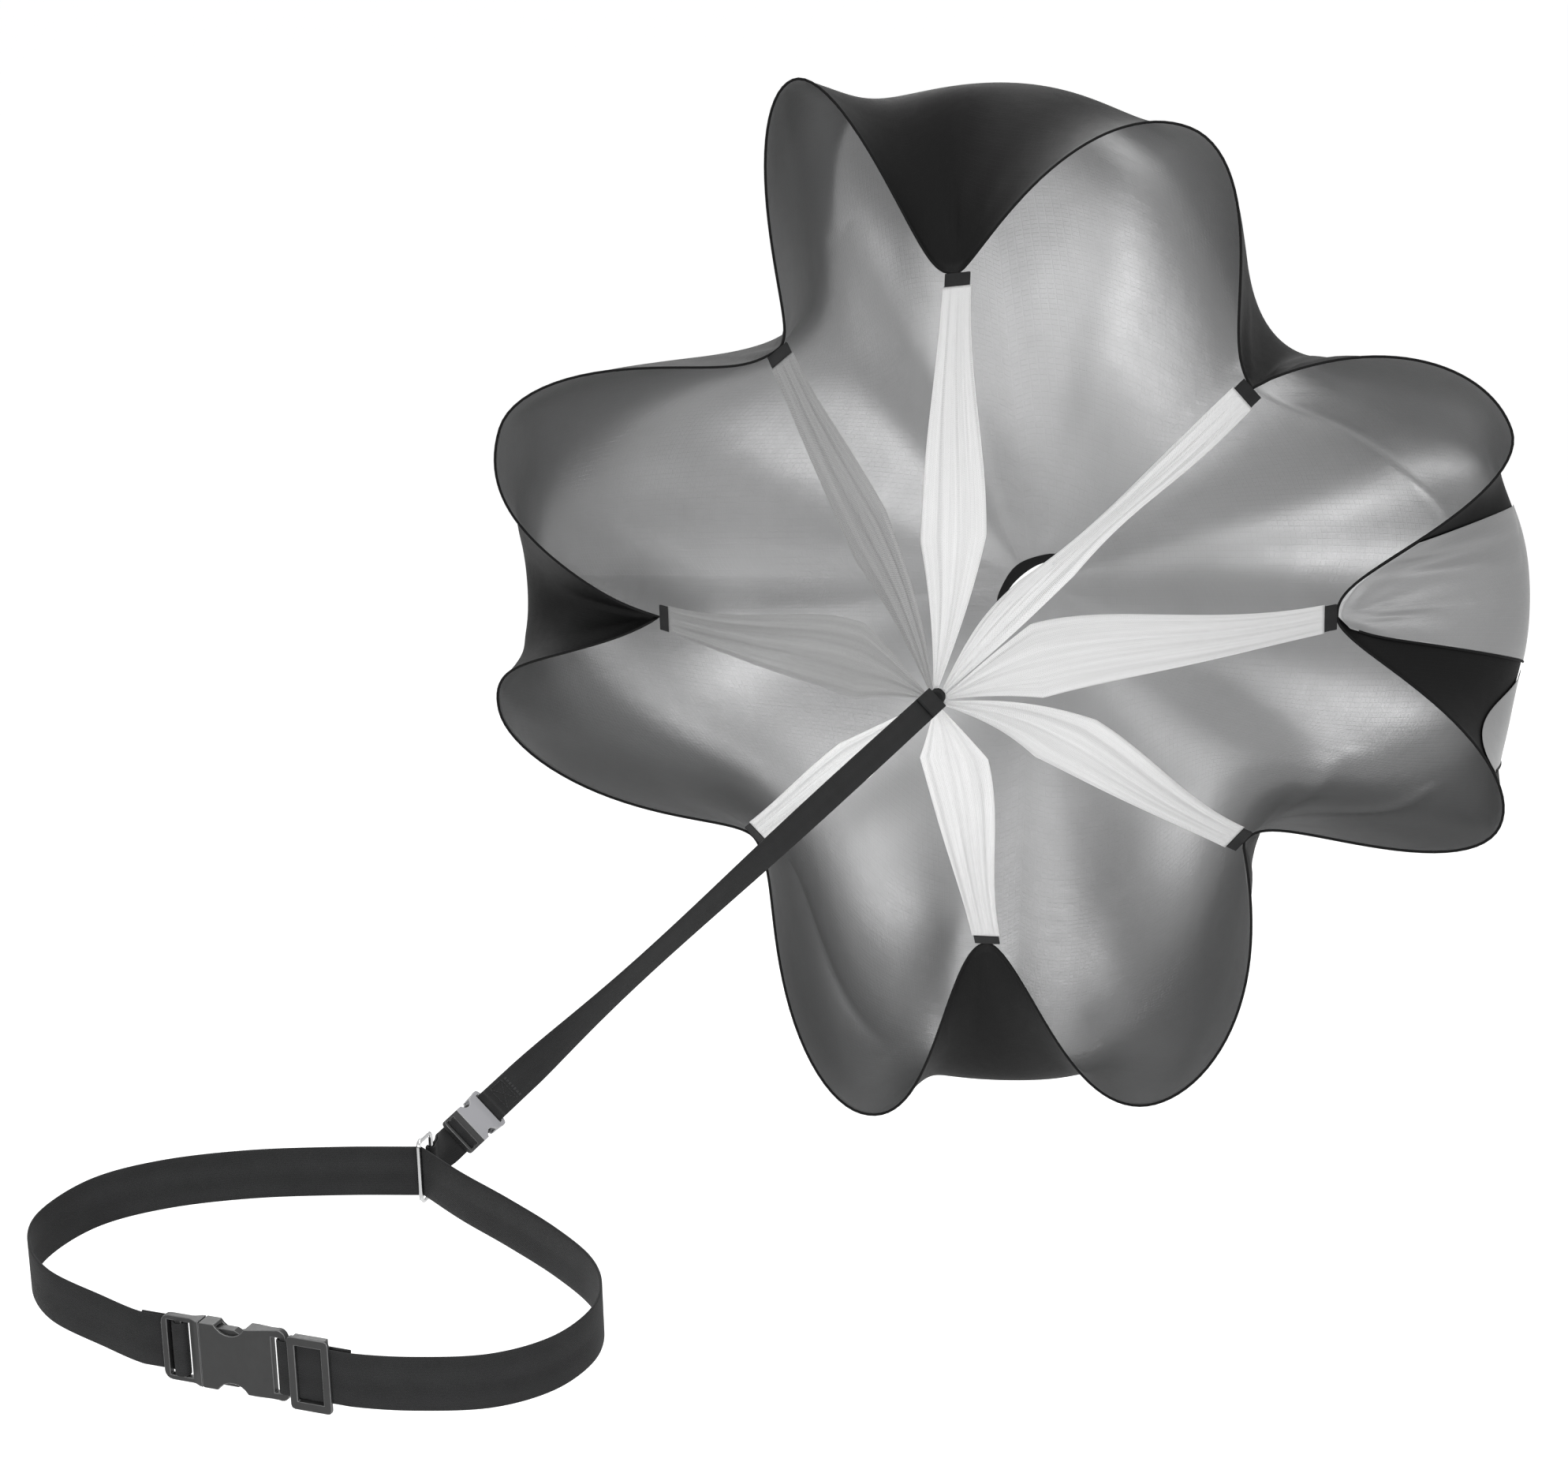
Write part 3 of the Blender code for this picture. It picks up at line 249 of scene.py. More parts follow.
@dataclass(frozen=True)
class NetCloth:
    """White polyester netting: knitted holes in a hexagonal order, with thicker lengthwise yarns in the bump,
    whose streaks also paint shade and highlight into the colour.
    """

    name: str = "white_netting"
    level: float = 0.78
    hole_pitch: float = 0.0024
    hole_share: float = 0.68

    def material(self) -> bpy.types.Material:
        """Build the material."""
        tree = ShaderTree(self.name)
        place, along, across = tree.cloth_place()
        half = self.hole_pitch * math.sqrt(3) / 2
        first = tree.wave(along, self.hole_pitch) * tree.wave(across, half * 2)
        shifted = tree.wave(along + self.hole_pitch / 2, self.hole_pitch)
        second = shifted * tree.wave(across + half, half * 2)
        hole = tree.maths("GREATER_THAN", tree.maths("MAXIMUM", first, second), self.hole_share)
        streak_relief_and_shade = tree.streaks(place, (3.0, 260.0, 1.0))
        # The streaks darken the colour to 0.78 and lighten it to 1.2 times its level: painted shade and
        # highlight along them.
        tone = tree.mix(streak_relief_and_shade, grey(self.level * 0.78), grey(min(1.0, self.level * 1.2)))
        shader = tree.node("BsdfPrincipled", {
            "Base Color": tone, "Roughness": streak_relief_and_shade * 0.15 + 0.6, "Alpha": 1 - hole * 0.85,
            "Normal": tree.bump(streak_relief_and_shade - hole * 0.5, 0.0006), "Specular IOR Level": 0.3,
        })
        glow = tree.node("BsdfTranslucent", {"Color": grey(self.level)})
        clear = tree.node("BsdfTransparent", {"Color": (1.0, 1.0, 1.0, 1.0)})
        lit = tree.node("MixShader", {0: 0.35, 1: shader, 2: glow})
        return tree.finish(tree.node("MixShader", {0: hole * 0.55, 1: lit, 2: clear}))


@dataclass(frozen=True)
class Webbing:
    """Woven narrow webbing: fine weft ribs across, a twill that meets down the middle, sewn-hard edges, and
    painted highlight and shade on the crests and grooves of its weave.
    """

    name: str = "black_webbing"
    level: float = 0.011
    width: float = 0.038
    rib_pitch: float = 0.0013
    yarn_pitch: float = 0.0011

    def material(self) -> bpy.types.Material:
        """Build the material."""
        tree = ShaderTree(self.name)
        place, along, across = tree.cloth_place()
        twill = tree.wave(along + tree.maths("ABSOLUTE", across), self.rib_pitch)
        yarn = tree.wave(across, self.yarn_pitch)
        height = twill * 0.6 + yarn * 0.5
        fuzz = tree.noise(place, 900.0)
        wear = tree.noise(place, 34.0, 4.0, 0.6)
        band = tree.wave(across, self.width / 2)
        # The weave's height lightens the crests and darkens the grooves as painted highlight and shade; fuzz
        # and wear add random tone, and band adds lengthwise stripes.
        light = height * 0.35 + fuzz * 0.25 + wear * 0.45 + band * 0.12 - 0.08
        return tree.surfaced({
            "Base Color": tree.tone(light, 0.0, grey(self.level * 0.5), grey(self.level * 2.1, 0.02)),
            "Roughness": fuzz * 0.15 + 0.68, "Normal": tree.bump(height + fuzz * 0.4, 0.0003, 0.8),
            "Specular IOR Level": 0.08, "Sheen Weight": 0.02, "Sheen Roughness": 0.5,
        })


@dataclass(frozen=True)
class MouldedPlastic:
    """Injection-moulded acetal: a fine spark-eroded grain, clouded where hands rub it."""

    name: str
    level: float
    roughness: float = 0.42

    def material(self) -> bpy.types.Material:
        """Build the material."""
        tree = ShaderTree(self.name)
        place = tree.position()
        grain = tree.noise(place, 2400.0, 2.0)
        cloud = tree.noise(place, 120.0, 4.0, 0.6)
        scuff = tree.streaks(place, (300.0, 900.0, 120.0))
        dark, bright = grey(self.level * 0.75), grey(self.level * 1.25, 0.01)
        return tree.surfaced({
            "Base Color": tree.tone(cloud * 0.7 + scuff * 0.5, -0.1, dark, bright),
            "Roughness": grain * 0.08 + cloud * 0.10 + scuff * 0.08 + (self.roughness - 0.12),
            "Normal": tree.bump(grain + cloud * 0.5, 0.00006, 0.5), "Specular IOR Level": 0.3,
        })


@dataclass(frozen=True)
class BrightWire:
    """Chromed steel wire, drawn lengthwise, with faint scuffs."""

    name: str = "bright_wire"
    level: float = 0.48

    def material(self) -> bpy.types.Material:
        """Build the material."""
        tree = ShaderTree(self.name)
        place = tree.position()
        scuff = tree.noise(place, 260.0, 5.0, 0.65)
        dull = tree.noise(place, 60.0)
        return tree.surfaced({
            "Base Color": tree.mix(dull, grey(self.level * 0.85), grey(self.level * 1.08, 0.01)),
            "Metallic": 1.0, "Roughness": scuff * 0.16 + 0.10, "Normal": tree.bump(scuff, 0.00004, 0.4),
        })


class Look(Enum):
    """The finishes that the pieces choose from."""

    LINING = CoatedCloth("silver_lining", 0.19, 0.33, 0.42, 0.8)
    OUTSIDE = CoatedCloth("black_outside", 0.0055, 0.60, 0.0, 0.06)
    NET = NetCloth()
    # A darker copy of the white netting with more open holes: its lower level is painted shade on strips 4
    # and 5.
    THIN_NET = NetCloth("white_netting_thin_shaded", 0.45, hole_share=0.40)
    BELT = Webbing()
    TETHER = Webbing("black_tether_webbing", 0.009, 0.025)
    THREAD = Webbing("black_thread", 0.030, 0.004, 0.0008, 0.0008)
    DARK = MouldedPlastic("charcoal_plastic", 0.016)
    DARK_EDGE = MouldedPlastic("charcoal_plastic_rubbed", 0.075, 0.34)
    LIGHT = MouldedPlastic("grey_plastic", 0.17)
    LIGHT_EDGE = MouldedPlastic("grey_plastic_rubbed", 0.26, 0.34)
    WIRE = BrightWire()

    @property
    def material(self) -> bpy.types.Material:
        """The finish's material, built when it is first asked for."""
        found = bpy.data.materials.get(self.value.name)
        return found or self.value.material()


# Shapes


def unit(vectors: Array) -> Array:
    """Vectors of length one, along the last axis."""
    vectors = np.asarray(vectors, float)
    return vectors / np.maximum(np.linalg.norm(vectors, axis=-1, keepdims=True), 1e-12)


def smoothstep(share: Array) -> Array:
    """An eased ramp from 0 to 1: 3 s squared less 2 s cubed."""
    share = np.clip(share, 0.0, 1.0)
    return share * share * (3 - 2 * share)


def grid_faces(rows: int, columns: int, wrap: bool, start: int = 0, flip: bool = False) -> Array:
    """The quads of a grid of points, which keep the same diagonal when they are turned over.

    Args:
        rows: rows of points.
        columns: points in each row.
        wrap: whether the last column joins the first.
        start: number of the grid's first point.
        flip: turn the faces over.

    Returns:
        Four point numbers for each face.
    """
    index = np.arange(rows * columns).reshape(rows, columns) + start
    if wrap:
        index = np.hstack([index, index[:, :1]])
    corners = [index[:-1, :-1], index[:-1, 1:], index[1:, 1:], index[1:, :-1]]
    quads = np.stack([c.ravel() for c in corners], axis=1)
    return quads[:, [0, 3, 2, 1]] if flip else quads


def make_mesh(name: str, points: Array, quads: Array, flat: Array | None = None) -> bpy.types.Mesh:
    """A smooth mesh, with a UV map from each point's place on the flat cloth.

    Args:
        name: the mesh's name.
        points: its points.
        quads: point numbers of its faces.
        flat: two lengths for each corner of each face, or none.

    Returns:
        The mesh.
    """
    mesh = bpy.data.meshes.new(name)
    mesh.from_pydata(points.reshape(-1, 3), [], quads)
    if flat is not None:
        mesh.uv_layers.new(name=UV_NAME).data.foreach_set("uv", flat.astype(np.float32).ravel())
    mesh.shade_smooth()
    return mesh


def second_material(mesh: bpy.types.Mesh, first: int) -> None:
    """Give a mesh's faces from a number on its second material."""
    numbers = (np.arange(len(mesh.polygons)) >= first).astype(np.int32)
    mesh.polygons.foreach_set("material_index", numbers)


def new_object(name: str, data: bpy.types.ID) -> bpy.types.Object:
    """An object with some data, in the scene."""
    made = bpy.data.objects.new(name, data)
    bpy.context.scene.collection.objects.link(made)
    return made


def place_piece(name: str, mesh: bpy.types.Mesh, looks: list[Look], body: str, slot: str | None,
                *nodes: str) -> bpy.types.Object:
    """Put a mesh in the scene as a piece of the object.

    Args:
        name: the piece's name.
        mesh: its mesh, in place.
        looks: its finishes, in the order of its faces' material numbers.
        body: the body that it rides on.
        slot: the record's material slot, or none; not used.
        *nodes: the solids that it stands for.

    Returns:
        The piece.
    """
    piece = new_object(name, mesh)
    for look in looks:
        mesh.materials.append(look.material)
    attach(piece, body)
    if nodes:
        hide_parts(*nodes)
    log.info("%s: %d faces, rides on %s", name, len(mesh.polygons), body)
    return piece


def band(first: Array, second: Array) -> Array:
    """The quads between two closed rings of point numbers."""
    return np.stack([first, np.roll(first, -1), np.roll(second, -1), second], axis=1)


def grid_map(along: Array, across: Array) -> Array:
    """Two lengths for each point of a grid, one point after another."""
    return np.stack(np.broadcast_arrays(along, across), axis=2).reshape(-1, 2)


def running_length(points: Array) -> Array:
    """The length of the way from the first point to each, along the first axis."""
    steps = np.linalg.norm(np.diff(points, axis=0), axis=-1)
    return np.concatenate([np.zeros((1, *steps.shape[1:])), np.cumsum(steps, axis=0)])


def heading(points: Array, closed: bool, axis: int = 0) -> Array:
    """The way past each point, from the point before it to the point after it on an axis."""
    if closed:
        return np.roll(points, -1, axis) - np.roll(points, 1, axis)
    return np.gradient(points, axis=axis)


def surface_normals(grid: Array, wrap: bool) -> Array:
    """Unit normals of a grid: the way along its rows crossed with the way along its columns."""
    return unit(np.cross(heading(grid, wrap, 1), heading(grid, False)))


def eased(values: Array, times: int) -> Array:
    """Numbers on a grid that closes on itself along its rows, averaged with their neighbours' so often.

    Each time a point takes half of its own value and a quarter of each neighbour's, along and then up.
    """
    for _ in range(times):
        values = (np.roll(values, 1, 1) + 2 * values + np.roll(values, -1, 1)) / 4
        padded = np.concatenate([values[:1], values, values[-1:]])
        values = (padded[:-2] + 2 * values + padded[2:]) / 4
    return values


def between(grid: Array, row: Array, column: Array) -> Array:
    """Values between a grid's points, at fractional rows and columns, round its closed rows."""
    columns = grid.shape[1]
    low = np.clip(np.floor(row).astype(int), 0, len(grid) - 2)
    left = np.floor(column).astype(int)
    up, over = (row - low)[..., None], (column - left)[..., None]
    corners = [grid[low + i, (left + j) % columns] for i in (0, 1) for j in (0, 1)]
    return ((corners[0] * (1 - over) + corners[1] * over) * (1 - up)
            + (corners[2] * (1 - over) + corners[3] * over) * up)


def smooth_way(points: Array, steps: int) -> Array:
    """A Catmull-Rom curve through points, with so many steps between each pair."""
    points = np.asarray(points, float)
    padded = np.vstack([2 * points[:1] - points[1:2], points, 2 * points[-1:] - points[-2:-1]])
    along = np.linspace(0.0, 1.0, steps, endpoint=False)[None, :, None]
    a, b, c, d = (padded[k:len(padded) - 3 + k][:, None] for k in range(4))
    curve = 0.5 * (2 * b + (c - a) * along + (2 * a - 5 * b + 4 * c - d) * along**2
                   + (3 * b - a - 3 * c + d) * along**3)
    return np.vstack([curve.reshape(-1, points.shape[1]), points[-1:]])


def arc(centre: tuple[float, float], radius: float, start: float, stop: float, steps: int) -> Array:
    """Points of a plane arc, from one angle to another in degrees."""
    angles = np.radians(np.linspace(start, stop, steps + 1))
    return np.stack([centre[0] + radius * np.cos(angles), centre[1] + radius * np.sin(angles)], axis=1)


def even_way(points: Array, step: float) -> Array:
    """The same way with points at most a step apart, on the straight lines between its points."""
    length = np.linalg.norm(np.diff(points, axis=0), axis=1)
    counts = np.maximum(1, np.ceil(length / step).astype(int))
    share = np.concatenate([np.arange(n) / n for n in counts])
    first = np.repeat(np.arange(len(counts)), counts)
    way = points[first] + (points[first + 1] - points[first]) * share[:, None]
    return np.vstack([way, points[-1:]])


@dataclass
class Strap:
    """Flat webbing carried along a way: a rounded oblong section of constant width.

    Each section's point is the way's middle plus its share of the width across, and plus its share of
    the thickness along the normal, where the normal is the way's direction crossed with across.
    """

    width: float
    thickness: float = 0.0018
    edge_points: int = 5
    face_points: int = 8

    def section(self) -> Array:
        """The section's outline: across and through, each in metres."""
        half, round_edge = self.width / 2, self.thickness / 2
        right = arc((half - round_edge, 0.0), round_edge, -90, 90, self.edge_points)
        left = arc((round_edge - half, 0.0), round_edge, 90, 270, self.edge_points)
        top = np.linspace(right[-1], left[0], self.face_points + 1)[1:-1]
        bottom = np.linspace(left[-1], right[0], self.face_points + 1)[1:-1]
        return np.vstack([right, top, left, bottom])

    def mesh(self, name: str, way: Array, across: Array, closed: bool = False) -> bpy.types.Mesh:
        """The strap's mesh.

        Args:
            name: the mesh's name.
            way: the middle line's points.
            across: the direction of the width at each point.
            closed: whether the way's end joins its start.

        Returns:
            The mesh, whose UV map holds metres along and across.
        """
        section = self.section()
        across = unit(np.broadcast_to(across, way.shape))
        normal = unit(np.cross(heading(way, closed), across))
        grid = way[:, None] + across[:, None] * section[None, :, :1] + normal[:, None] * section[None, :, 1:]
        rows, columns = grid.shape[:2]
        run = running_length(way)
        flat = grid_map(run[:, None], section[None, :, 0])
        quads = grid_faces(rows, columns, True)
        corner_flat = flat[quads]
        if closed:
            ring = np.arange(columns)
            join = band(ring + (rows - 1) * columns, ring)
            joined_flat = flat[join]
            joined_flat[:, 2:, 0] = run[-1] + np.linalg.norm(way[0] - way[-1])
            quads, corner_flat = np.vstack([quads, join]), np.vstack([corner_flat, joined_flat])
        mesh = make_mesh(name, grid, quads, corner_flat)
        if not closed:
            close_ends(mesh)
        return mesh


def close_ends(mesh: bpy.types.Mesh) -> None:
    """Close every open end of a mesh with a face, and turn its faces outwards."""
    shape = bmesh.new()
    shape.from_mesh(mesh)
    bmesh.ops.holes_fill(shape, edges=[e for e in shape.edges if e.is_boundary], sides=0)
    bmesh.ops.recalc_face_normals(shape, faces=shape.faces)
    shape.to_mesh(mesh)
    shape.free()


def thin_wall(name: str, sides: Array, flat: Array, turned: bool = False) -> bpy.types.Mesh:
    """A closed wall between two open grids of points.

    Args:
        name: the mesh's name.
        sides: the two grids.
        flat: two lengths for each point of a grid.
        turned: turn over the first grid's faces in place of the second's.

    Returns:
        The mesh: the first grid's faces, then the second's, then those between their edges.
    """
    rows, columns = sides.shape[1:3]
    count = rows * columns
    index = np.arange(count).reshape(rows, columns)
    loop = np.concatenate([index[0, :-1], index[:-1, -1], index[-1, :0:-1], index[:0:-1, 0]])
    edge = np.stack([loop, loop + count, np.roll(loop + count, -1), np.roll(loop, -1)], axis=1)
    quads = np.vstack([grid_faces(rows, columns, False, 0, turned),
                       grid_faces(rows, columns, False, count, not turned), edge])
    mesh = make_mesh(name, sides, quads, np.vstack([flat, flat])[quads])
    close_ends(mesh)
    return mesh


def tube(name: str, way: Array, radius: float, sides: int, closed: bool) -> bpy.types.Mesh:
    """A round wire along a way.

    Each ring is a circle across the way's direction, measured from one fixed cross direction.

    Args:
        name: the mesh's name.
        way: the middle line's points.
        radius: the wire's radius.
        sides: points round it.
        closed: whether the way's end joins its start.

    Returns:
        The mesh.
    """
    tangent = unit(heading(way, closed))
    flat = unit(np.cross(tangent, unit(np.linalg.svd(way - way.mean(0))[2][2])))
    other = np.cross(tangent, flat)
    angle = np.linspace(0.0, 2 * np.pi, sides, endpoint=False)[None, :, None]
    grid = way[:, None] + radius * (np.cos(angle) * flat[:, None] + np.sin(angle) * other[:, None])
    lap = np.linspace(0.0, 2 * np.pi * radius, sides, endpoint=False)
    quads = grid_faces(len(way), sides, True)
    if closed:
        ring = np.arange(sides)
        quads = np.vstack([quads, band(ring + (len(way) - 1) * sides, ring)])
    mesh = make_mesh(name, grid, quads, grid_map(running_length(way)[:, None], lap[None])[quads])
    close_ends(mesh)
    return mesh


# Canopy


@dataclass
class CanopyShape:
    """The inflated form of the square cloth, and where its ties, hub and strips are.

    A point is given by its turn round the canopy's axis, its distance from the axis and its depth past
    the plane of the ties. Turns are in degrees from the wearer's right.
    """

    cut_side: float = 1.42
    mouth_radius: float = 0.381
    hub_to_mouth: float = 0.564
    crown_depth: float = 0.355
    lobe_setback: float = 0.100
    yaw: float = -4.95
    pitch: float = -7.22
    hub: tuple[float, float, float] = (0.147, 1.391, -0.007)
    crown_flatness_share: float = 0.55
    ties: tuple[float, ...] = (0.0, 41.5, 96.0, 129.6, 181.5, 223.5, 268.9, 317.7)
    shoulders: tuple[float, ...] = (0.730, 0.460, 0.712, 0.430, 0.712, 0.460, 0.732, 0.440)
    shoulder_tuck: float = 0.025
    ridge_share: float = 0.07
    petal_heights: tuple[float, ...] = (0.230, 0.200, 0.263, 0.240, 0.231, 0.258, 0.240, 0.246)
    tips: tuple[float, ...] = (0.467, 0.494, 0.465, 0.612, 0.272, 0.691, 0.373, 0.439)
    start_powers: tuple[float, ...] = (2.48, 2.24, 3.0, 2.57, 1.03, 2.30, 1.61, 2.40)
    end_powers: tuple[float, ...] = (0.80, 1.35, 2.07, 0.90, 2.00, 1.81, 1.38, 1.94)
    tab_length: float = 0.024
    clearance: float = 0.0003
    cloth_thickness: float = 0.0012
    core_radius: float = 0.0085
    core_length: float = 0.016
    vent_half_length: float = 0.036
    vent_half_width: float = 0.012
    vent_turn: float = 39.0
    vent_shift: tuple[float, float] = (0.012, -0.010)
    meridian_points: int = 50
    halvings: int = 40
    axis: Array = field(init=False)
    side: Array = field(init=False)
    up: Array = field(init=False)
    mouth: Array = field(init=False)

    def __post_init__(self) -> None:
        """Work out the canopy's own directions."""
        yaw, pitch = math.radians(self.yaw), math.radians(self.pitch)
        self.axis = np.array([
            math.sin(yaw) * math.cos(pitch), math.cos(yaw) * math.cos(pitch), math.sin(pitch)
        ])
        self.side = unit(np.cross(self.axis, [0.0, 0.0, 1.0]))
        self.up = np.cross(self.side, self.axis)
        self.mouth = np.array(self.hub) + self.axis * self.hub_to_mouth

    def place(self, turn: Array, radius: Array, depth: Array) -> Array:
        """The point at a turn in radians, a distance from the axis and a depth."""
        turn, radius, depth = (np.asarray(v, float)[..., None] for v in (turn, radius, depth))
        return self.mouth + radius * (np.cos(turn) * self.side + np.sin(turn) * self.up) + depth * self.axis

    def around(self, turn: float) -> Array:
        """The direction round the axis at a turn in radians."""
        return -np.sin(turn) * self.side + np.cos(turn) * self.up

    def tie_turns(self) -> Array:
        """The ties' turns in radians, with the first repeated a full turn on."""
        return np.radians(np.array(self.ties + (self.ties[0] + 360.0,)))

    def tie_radius_and_depth(self) -> tuple[float, float]:
        """Where the hem's ties lie, on the strips' lines past the tabs."""
        slope = math.hypot(self.mouth_radius, self.hub_to_mouth)
        reach = self.tab_length + 2 * self.clearance + self.cloth_thickness * 0.75
        return self.mouth_radius * (1 + reach / slope), reach * self.hub_to_mouth / slope

    def hem(self, columns: int) -> dict[str, Array]:
        """The hem, with so many columns in each lobe.

        Between two ties the half side of the square stands out as a petal. Its rise is a half sine of
        the share along, to one power before the petal's middle and another past it. The turn leans
        towards the petal's tip with the half sine squared. The shoulder behind the hem goes from its
        distance at a tie to just inside the petal's, with the half sine cubed.

        Returns:
            turn, radius, depth, shoulder, flat (the distance from the crown on the cut cloth) and
            heading (the direction there), each one number per column.
        """
        turns = self.tie_turns()
        tie_radius, tie_depth = self.tie_radius_and_depth()
        half_side = self.cut_side / 2
        lobe = np.repeat(np.arange(8), columns)
        along = np.tile(np.arange(columns) / columns, 8)
        wave = np.sin(np.pi * along)
        power = np.where(along < 0.5, np.array(self.start_powers)[lobe], np.array(self.end_powers)[lobe])
        height = np.array(self.petal_heights)[lobe]
        span = np.diff(turns)[lobe]
        from_side = np.where(lobe % 2 == 0, 1.0 - along, along)
        angle = np.arctan(from_side)
        ties = np.array(self.shoulders + self.shoulders[:1])
        tie_shoulder = np.where(along < 0.5, ties[lobe], ties[lobe + 1])
        tip_shoulder = tie_radius + height - self.shoulder_tuck
        return {
            "turn": turns[lobe] + span * (along + (np.array(self.tips)[lobe] - 0.5) * wave**2),
            "radius": tie_radius + height * wave**power,
            "depth": tie_depth + (self.lobe_setback - tie_depth) * wave**2,
            "shoulder": tie_shoulder + (tip_shoulder - tie_shoulder) * wave**3,
            "flat": half_side * np.hypot(1.0, from_side),
            "heading": np.where(lobe % 2 == 0, (lobe + 1) * np.pi / 4 - angle, lobe * np.pi / 4 + angle),
        }

    def vent_radius(self, turn: Array) -> Array:
        """The distance from the crown to the vent's oval edge at a turn in radians."""
        angle = turn - math.radians(self.vent_turn)
        a, b = self.vent_half_length, self.vent_half_width
        return a * b / np.hypot(b * np.cos(angle), a * np.sin(angle))

    def meridian(self, start: Array, hem: dict[str, Array], shoulder_depth: Array,
                 share: Array) -> tuple[Array, Array]:
        """Radius and depth along a quartic Bezier curve from the crown, over the shoulder, to the hem.

        Its third and fourth points are both the shoulder, which makes the turn there a tight one.
        """
        back = 1 - share
        weights = (back**4, 4 * back**3 * share, 6 * back**2 * share**2 + 4 * back * share**3, share**4)
        radii = (start, self.crown_flatness_share * hem["shoulder"], hem["shoulder"], hem["radius"])
        depths = (self.crown_depth, self.crown_depth, shoulder_depth, hem["depth"])
        radius = sum(w * r for w, r in zip(weights, radii))
        return radius, sum(w * d for w, d in zip(weights, depths))

    def solve_shoulder(self, start: Array, hem: dict[str, Array]) -> Array:
        """How deep each shoulder lies for its meridian's length to be what was cut, by halving."""
        share = np.linspace(0.0, 1.0, self.meridian_points)[:, None]
        low, high = hem["depth"].copy(), np.full(len(start), 2 * self.crown_depth)
        for _ in range(self.halvings):
            middle = (low + high) / 2
            radius, depth = self.meridian(start, hem, middle, share)
            length = np.hypot(np.diff(radius, axis=0), np.diff(depth, axis=0)).sum(axis=0)
            low = np.where(length < hem["flat"] - start, middle, low)
            high = np.where(length < hem["flat"] - start, high, middle)
        return (low + high) / 2

    def softened(self, values: Array, columns: int) -> Array:
        """Numbers round the canopy, blurred with a bell curve a share of a lobe wide, to ease its ridges."""
        width = columns * self.ridge_share
        reach = int(3 * width)
        bell = np.exp(-0.5 * (np.arange(-reach, reach + 1) / width) ** 2)
        padded = np.concatenate([values[-reach:], values, values[:reach]])
        return np.convolve(padded, bell / bell.sum(), mode="valid")

    def surface(self, columns: int, rows: int) -> tuple[Array, Array]:
        """The cloth's middle surface.

        Args:
            columns: columns of points in each lobe.
            rows: rows of points from the vent to the hem.

        Returns:
            The grid of points, and each point's place on the cut cloth.
        """
        hem = self.hem(columns)
        start = self.vent_radius(hem["turn"])
        depth_there = self.softened(self.solve_shoulder(start, hem), columns)
        share = np.linspace(0.0, 1.0, rows)[:, None]
        radius, depth = self.meridian(start, hem, depth_there, share)
        grid = self.place(np.broadcast_to(hem["turn"], radius.shape), radius, depth)
        shift = self.vent_shift[0] * self.side + self.vent_shift[1] * self.up
        grid = grid + ((1 - share) ** 2)[..., None] * shift
        out = start + (hem["flat"] - start) * share
        flat = np.stack([out * np.cos(hem["heading"]), out * np.sin(hem["heading"])], axis=2)
        log.info("shoulders lie from %.3f to %.3f m past the mouth", depth_there.min(), depth_there.max())
        return grid, flat

    def tie_places_on_cloth(self) -> Array:
        """The eight ties' places on the cut cloth: corners and side middles by turns."""
        number = np.arange(8)
        far = np.where(number % 2 == 0, self.cut_side / math.sqrt(2), self.cut_side / 2)
        return np.stack([far * np.cos(number * np.pi / 4), far * np.sin(number * np.pi / 4)], axis=1)


@dataclass(frozen=True)
class Crease:
    """A fold that the wind presses into the cloth, between two places on the flat cloth.

    Its height over the cloth falls with the distance from its line, as an exponential with a rounded
    tip, and rises from and falls to nothing at its ends with the root of a half sine.
    """

    start: tuple[float, float]
    stop: tuple[float, float]
    height: float
    spread: float
    rounding: float = 0.006

    def lift(self, flat: Array) -> Array:
        """The height at places on the flat cloth."""
        start, line = np.array(self.start), np.subtract(self.stop, self.start)
        share = np.clip(((flat - start) @ line) / (line @ line), 0.0, 1.0)
        away = np.linalg.norm(flat - start - share[..., None] * line, axis=-1)
        away = np.hypot(away, self.rounding) - self.rounding
        return self.height * np.exp(-away / self.spread) * np.sin(np.pi * share) ** 0.5


@dataclass(frozen=True)
class Lapel:
    """A part of the hem that the wind has turned back over the outside, with its lining out.

    Its columns, in lobes from the first tie, run between a low and a high edge. Each edge goes from its
    place at the hem to its place at the far end by a power of the share along. Its lift is a low arch,
    with ridges that gather towards the high edge.
    """

    name: str
    low: tuple[float, float, float]
    high: tuple[float, float, float]
    reach: float = 0.30
    lift: float = 0.0020
    arch: float = 0.0050
    ridge: float = 0.0060
    ridge_turns: float = 4.0
    ridge_from: float = 0.45
    ridge_ease: float = 0.4
    rows: int = 60
    columns: int = 48

    def places(self) -> tuple[Array, Array, Array]:
        """Shares of the meridian, columns in lobes, and heights, for a grid of points."""
        share = np.linspace(0.0, 1.0, self.rows)[:, None]
        over = np.linspace(0.0, 1.0, self.columns)[None]
        low, high = (edge[0] + (edge[1] - edge[0]) * share ** edge[2] for edge in (self.low, self.high))
        arch = self.arch * np.sin(np.pi * share) * np.sin(np.pi * over)
        gather = smoothstep((over - self.ridge_from) / self.ridge_ease)
        ridge = self.ridge * np.sin(self.ridge_turns * np.pi * over) ** 2 * gather
        height = self.lift + arch + ridge * np.sin(np.pi * np.clip(share * 1.2, 0, 1)) ** 0.5
        return np.broadcast_arrays(1.0 - self.reach * share, low + (high - low) * over, height)


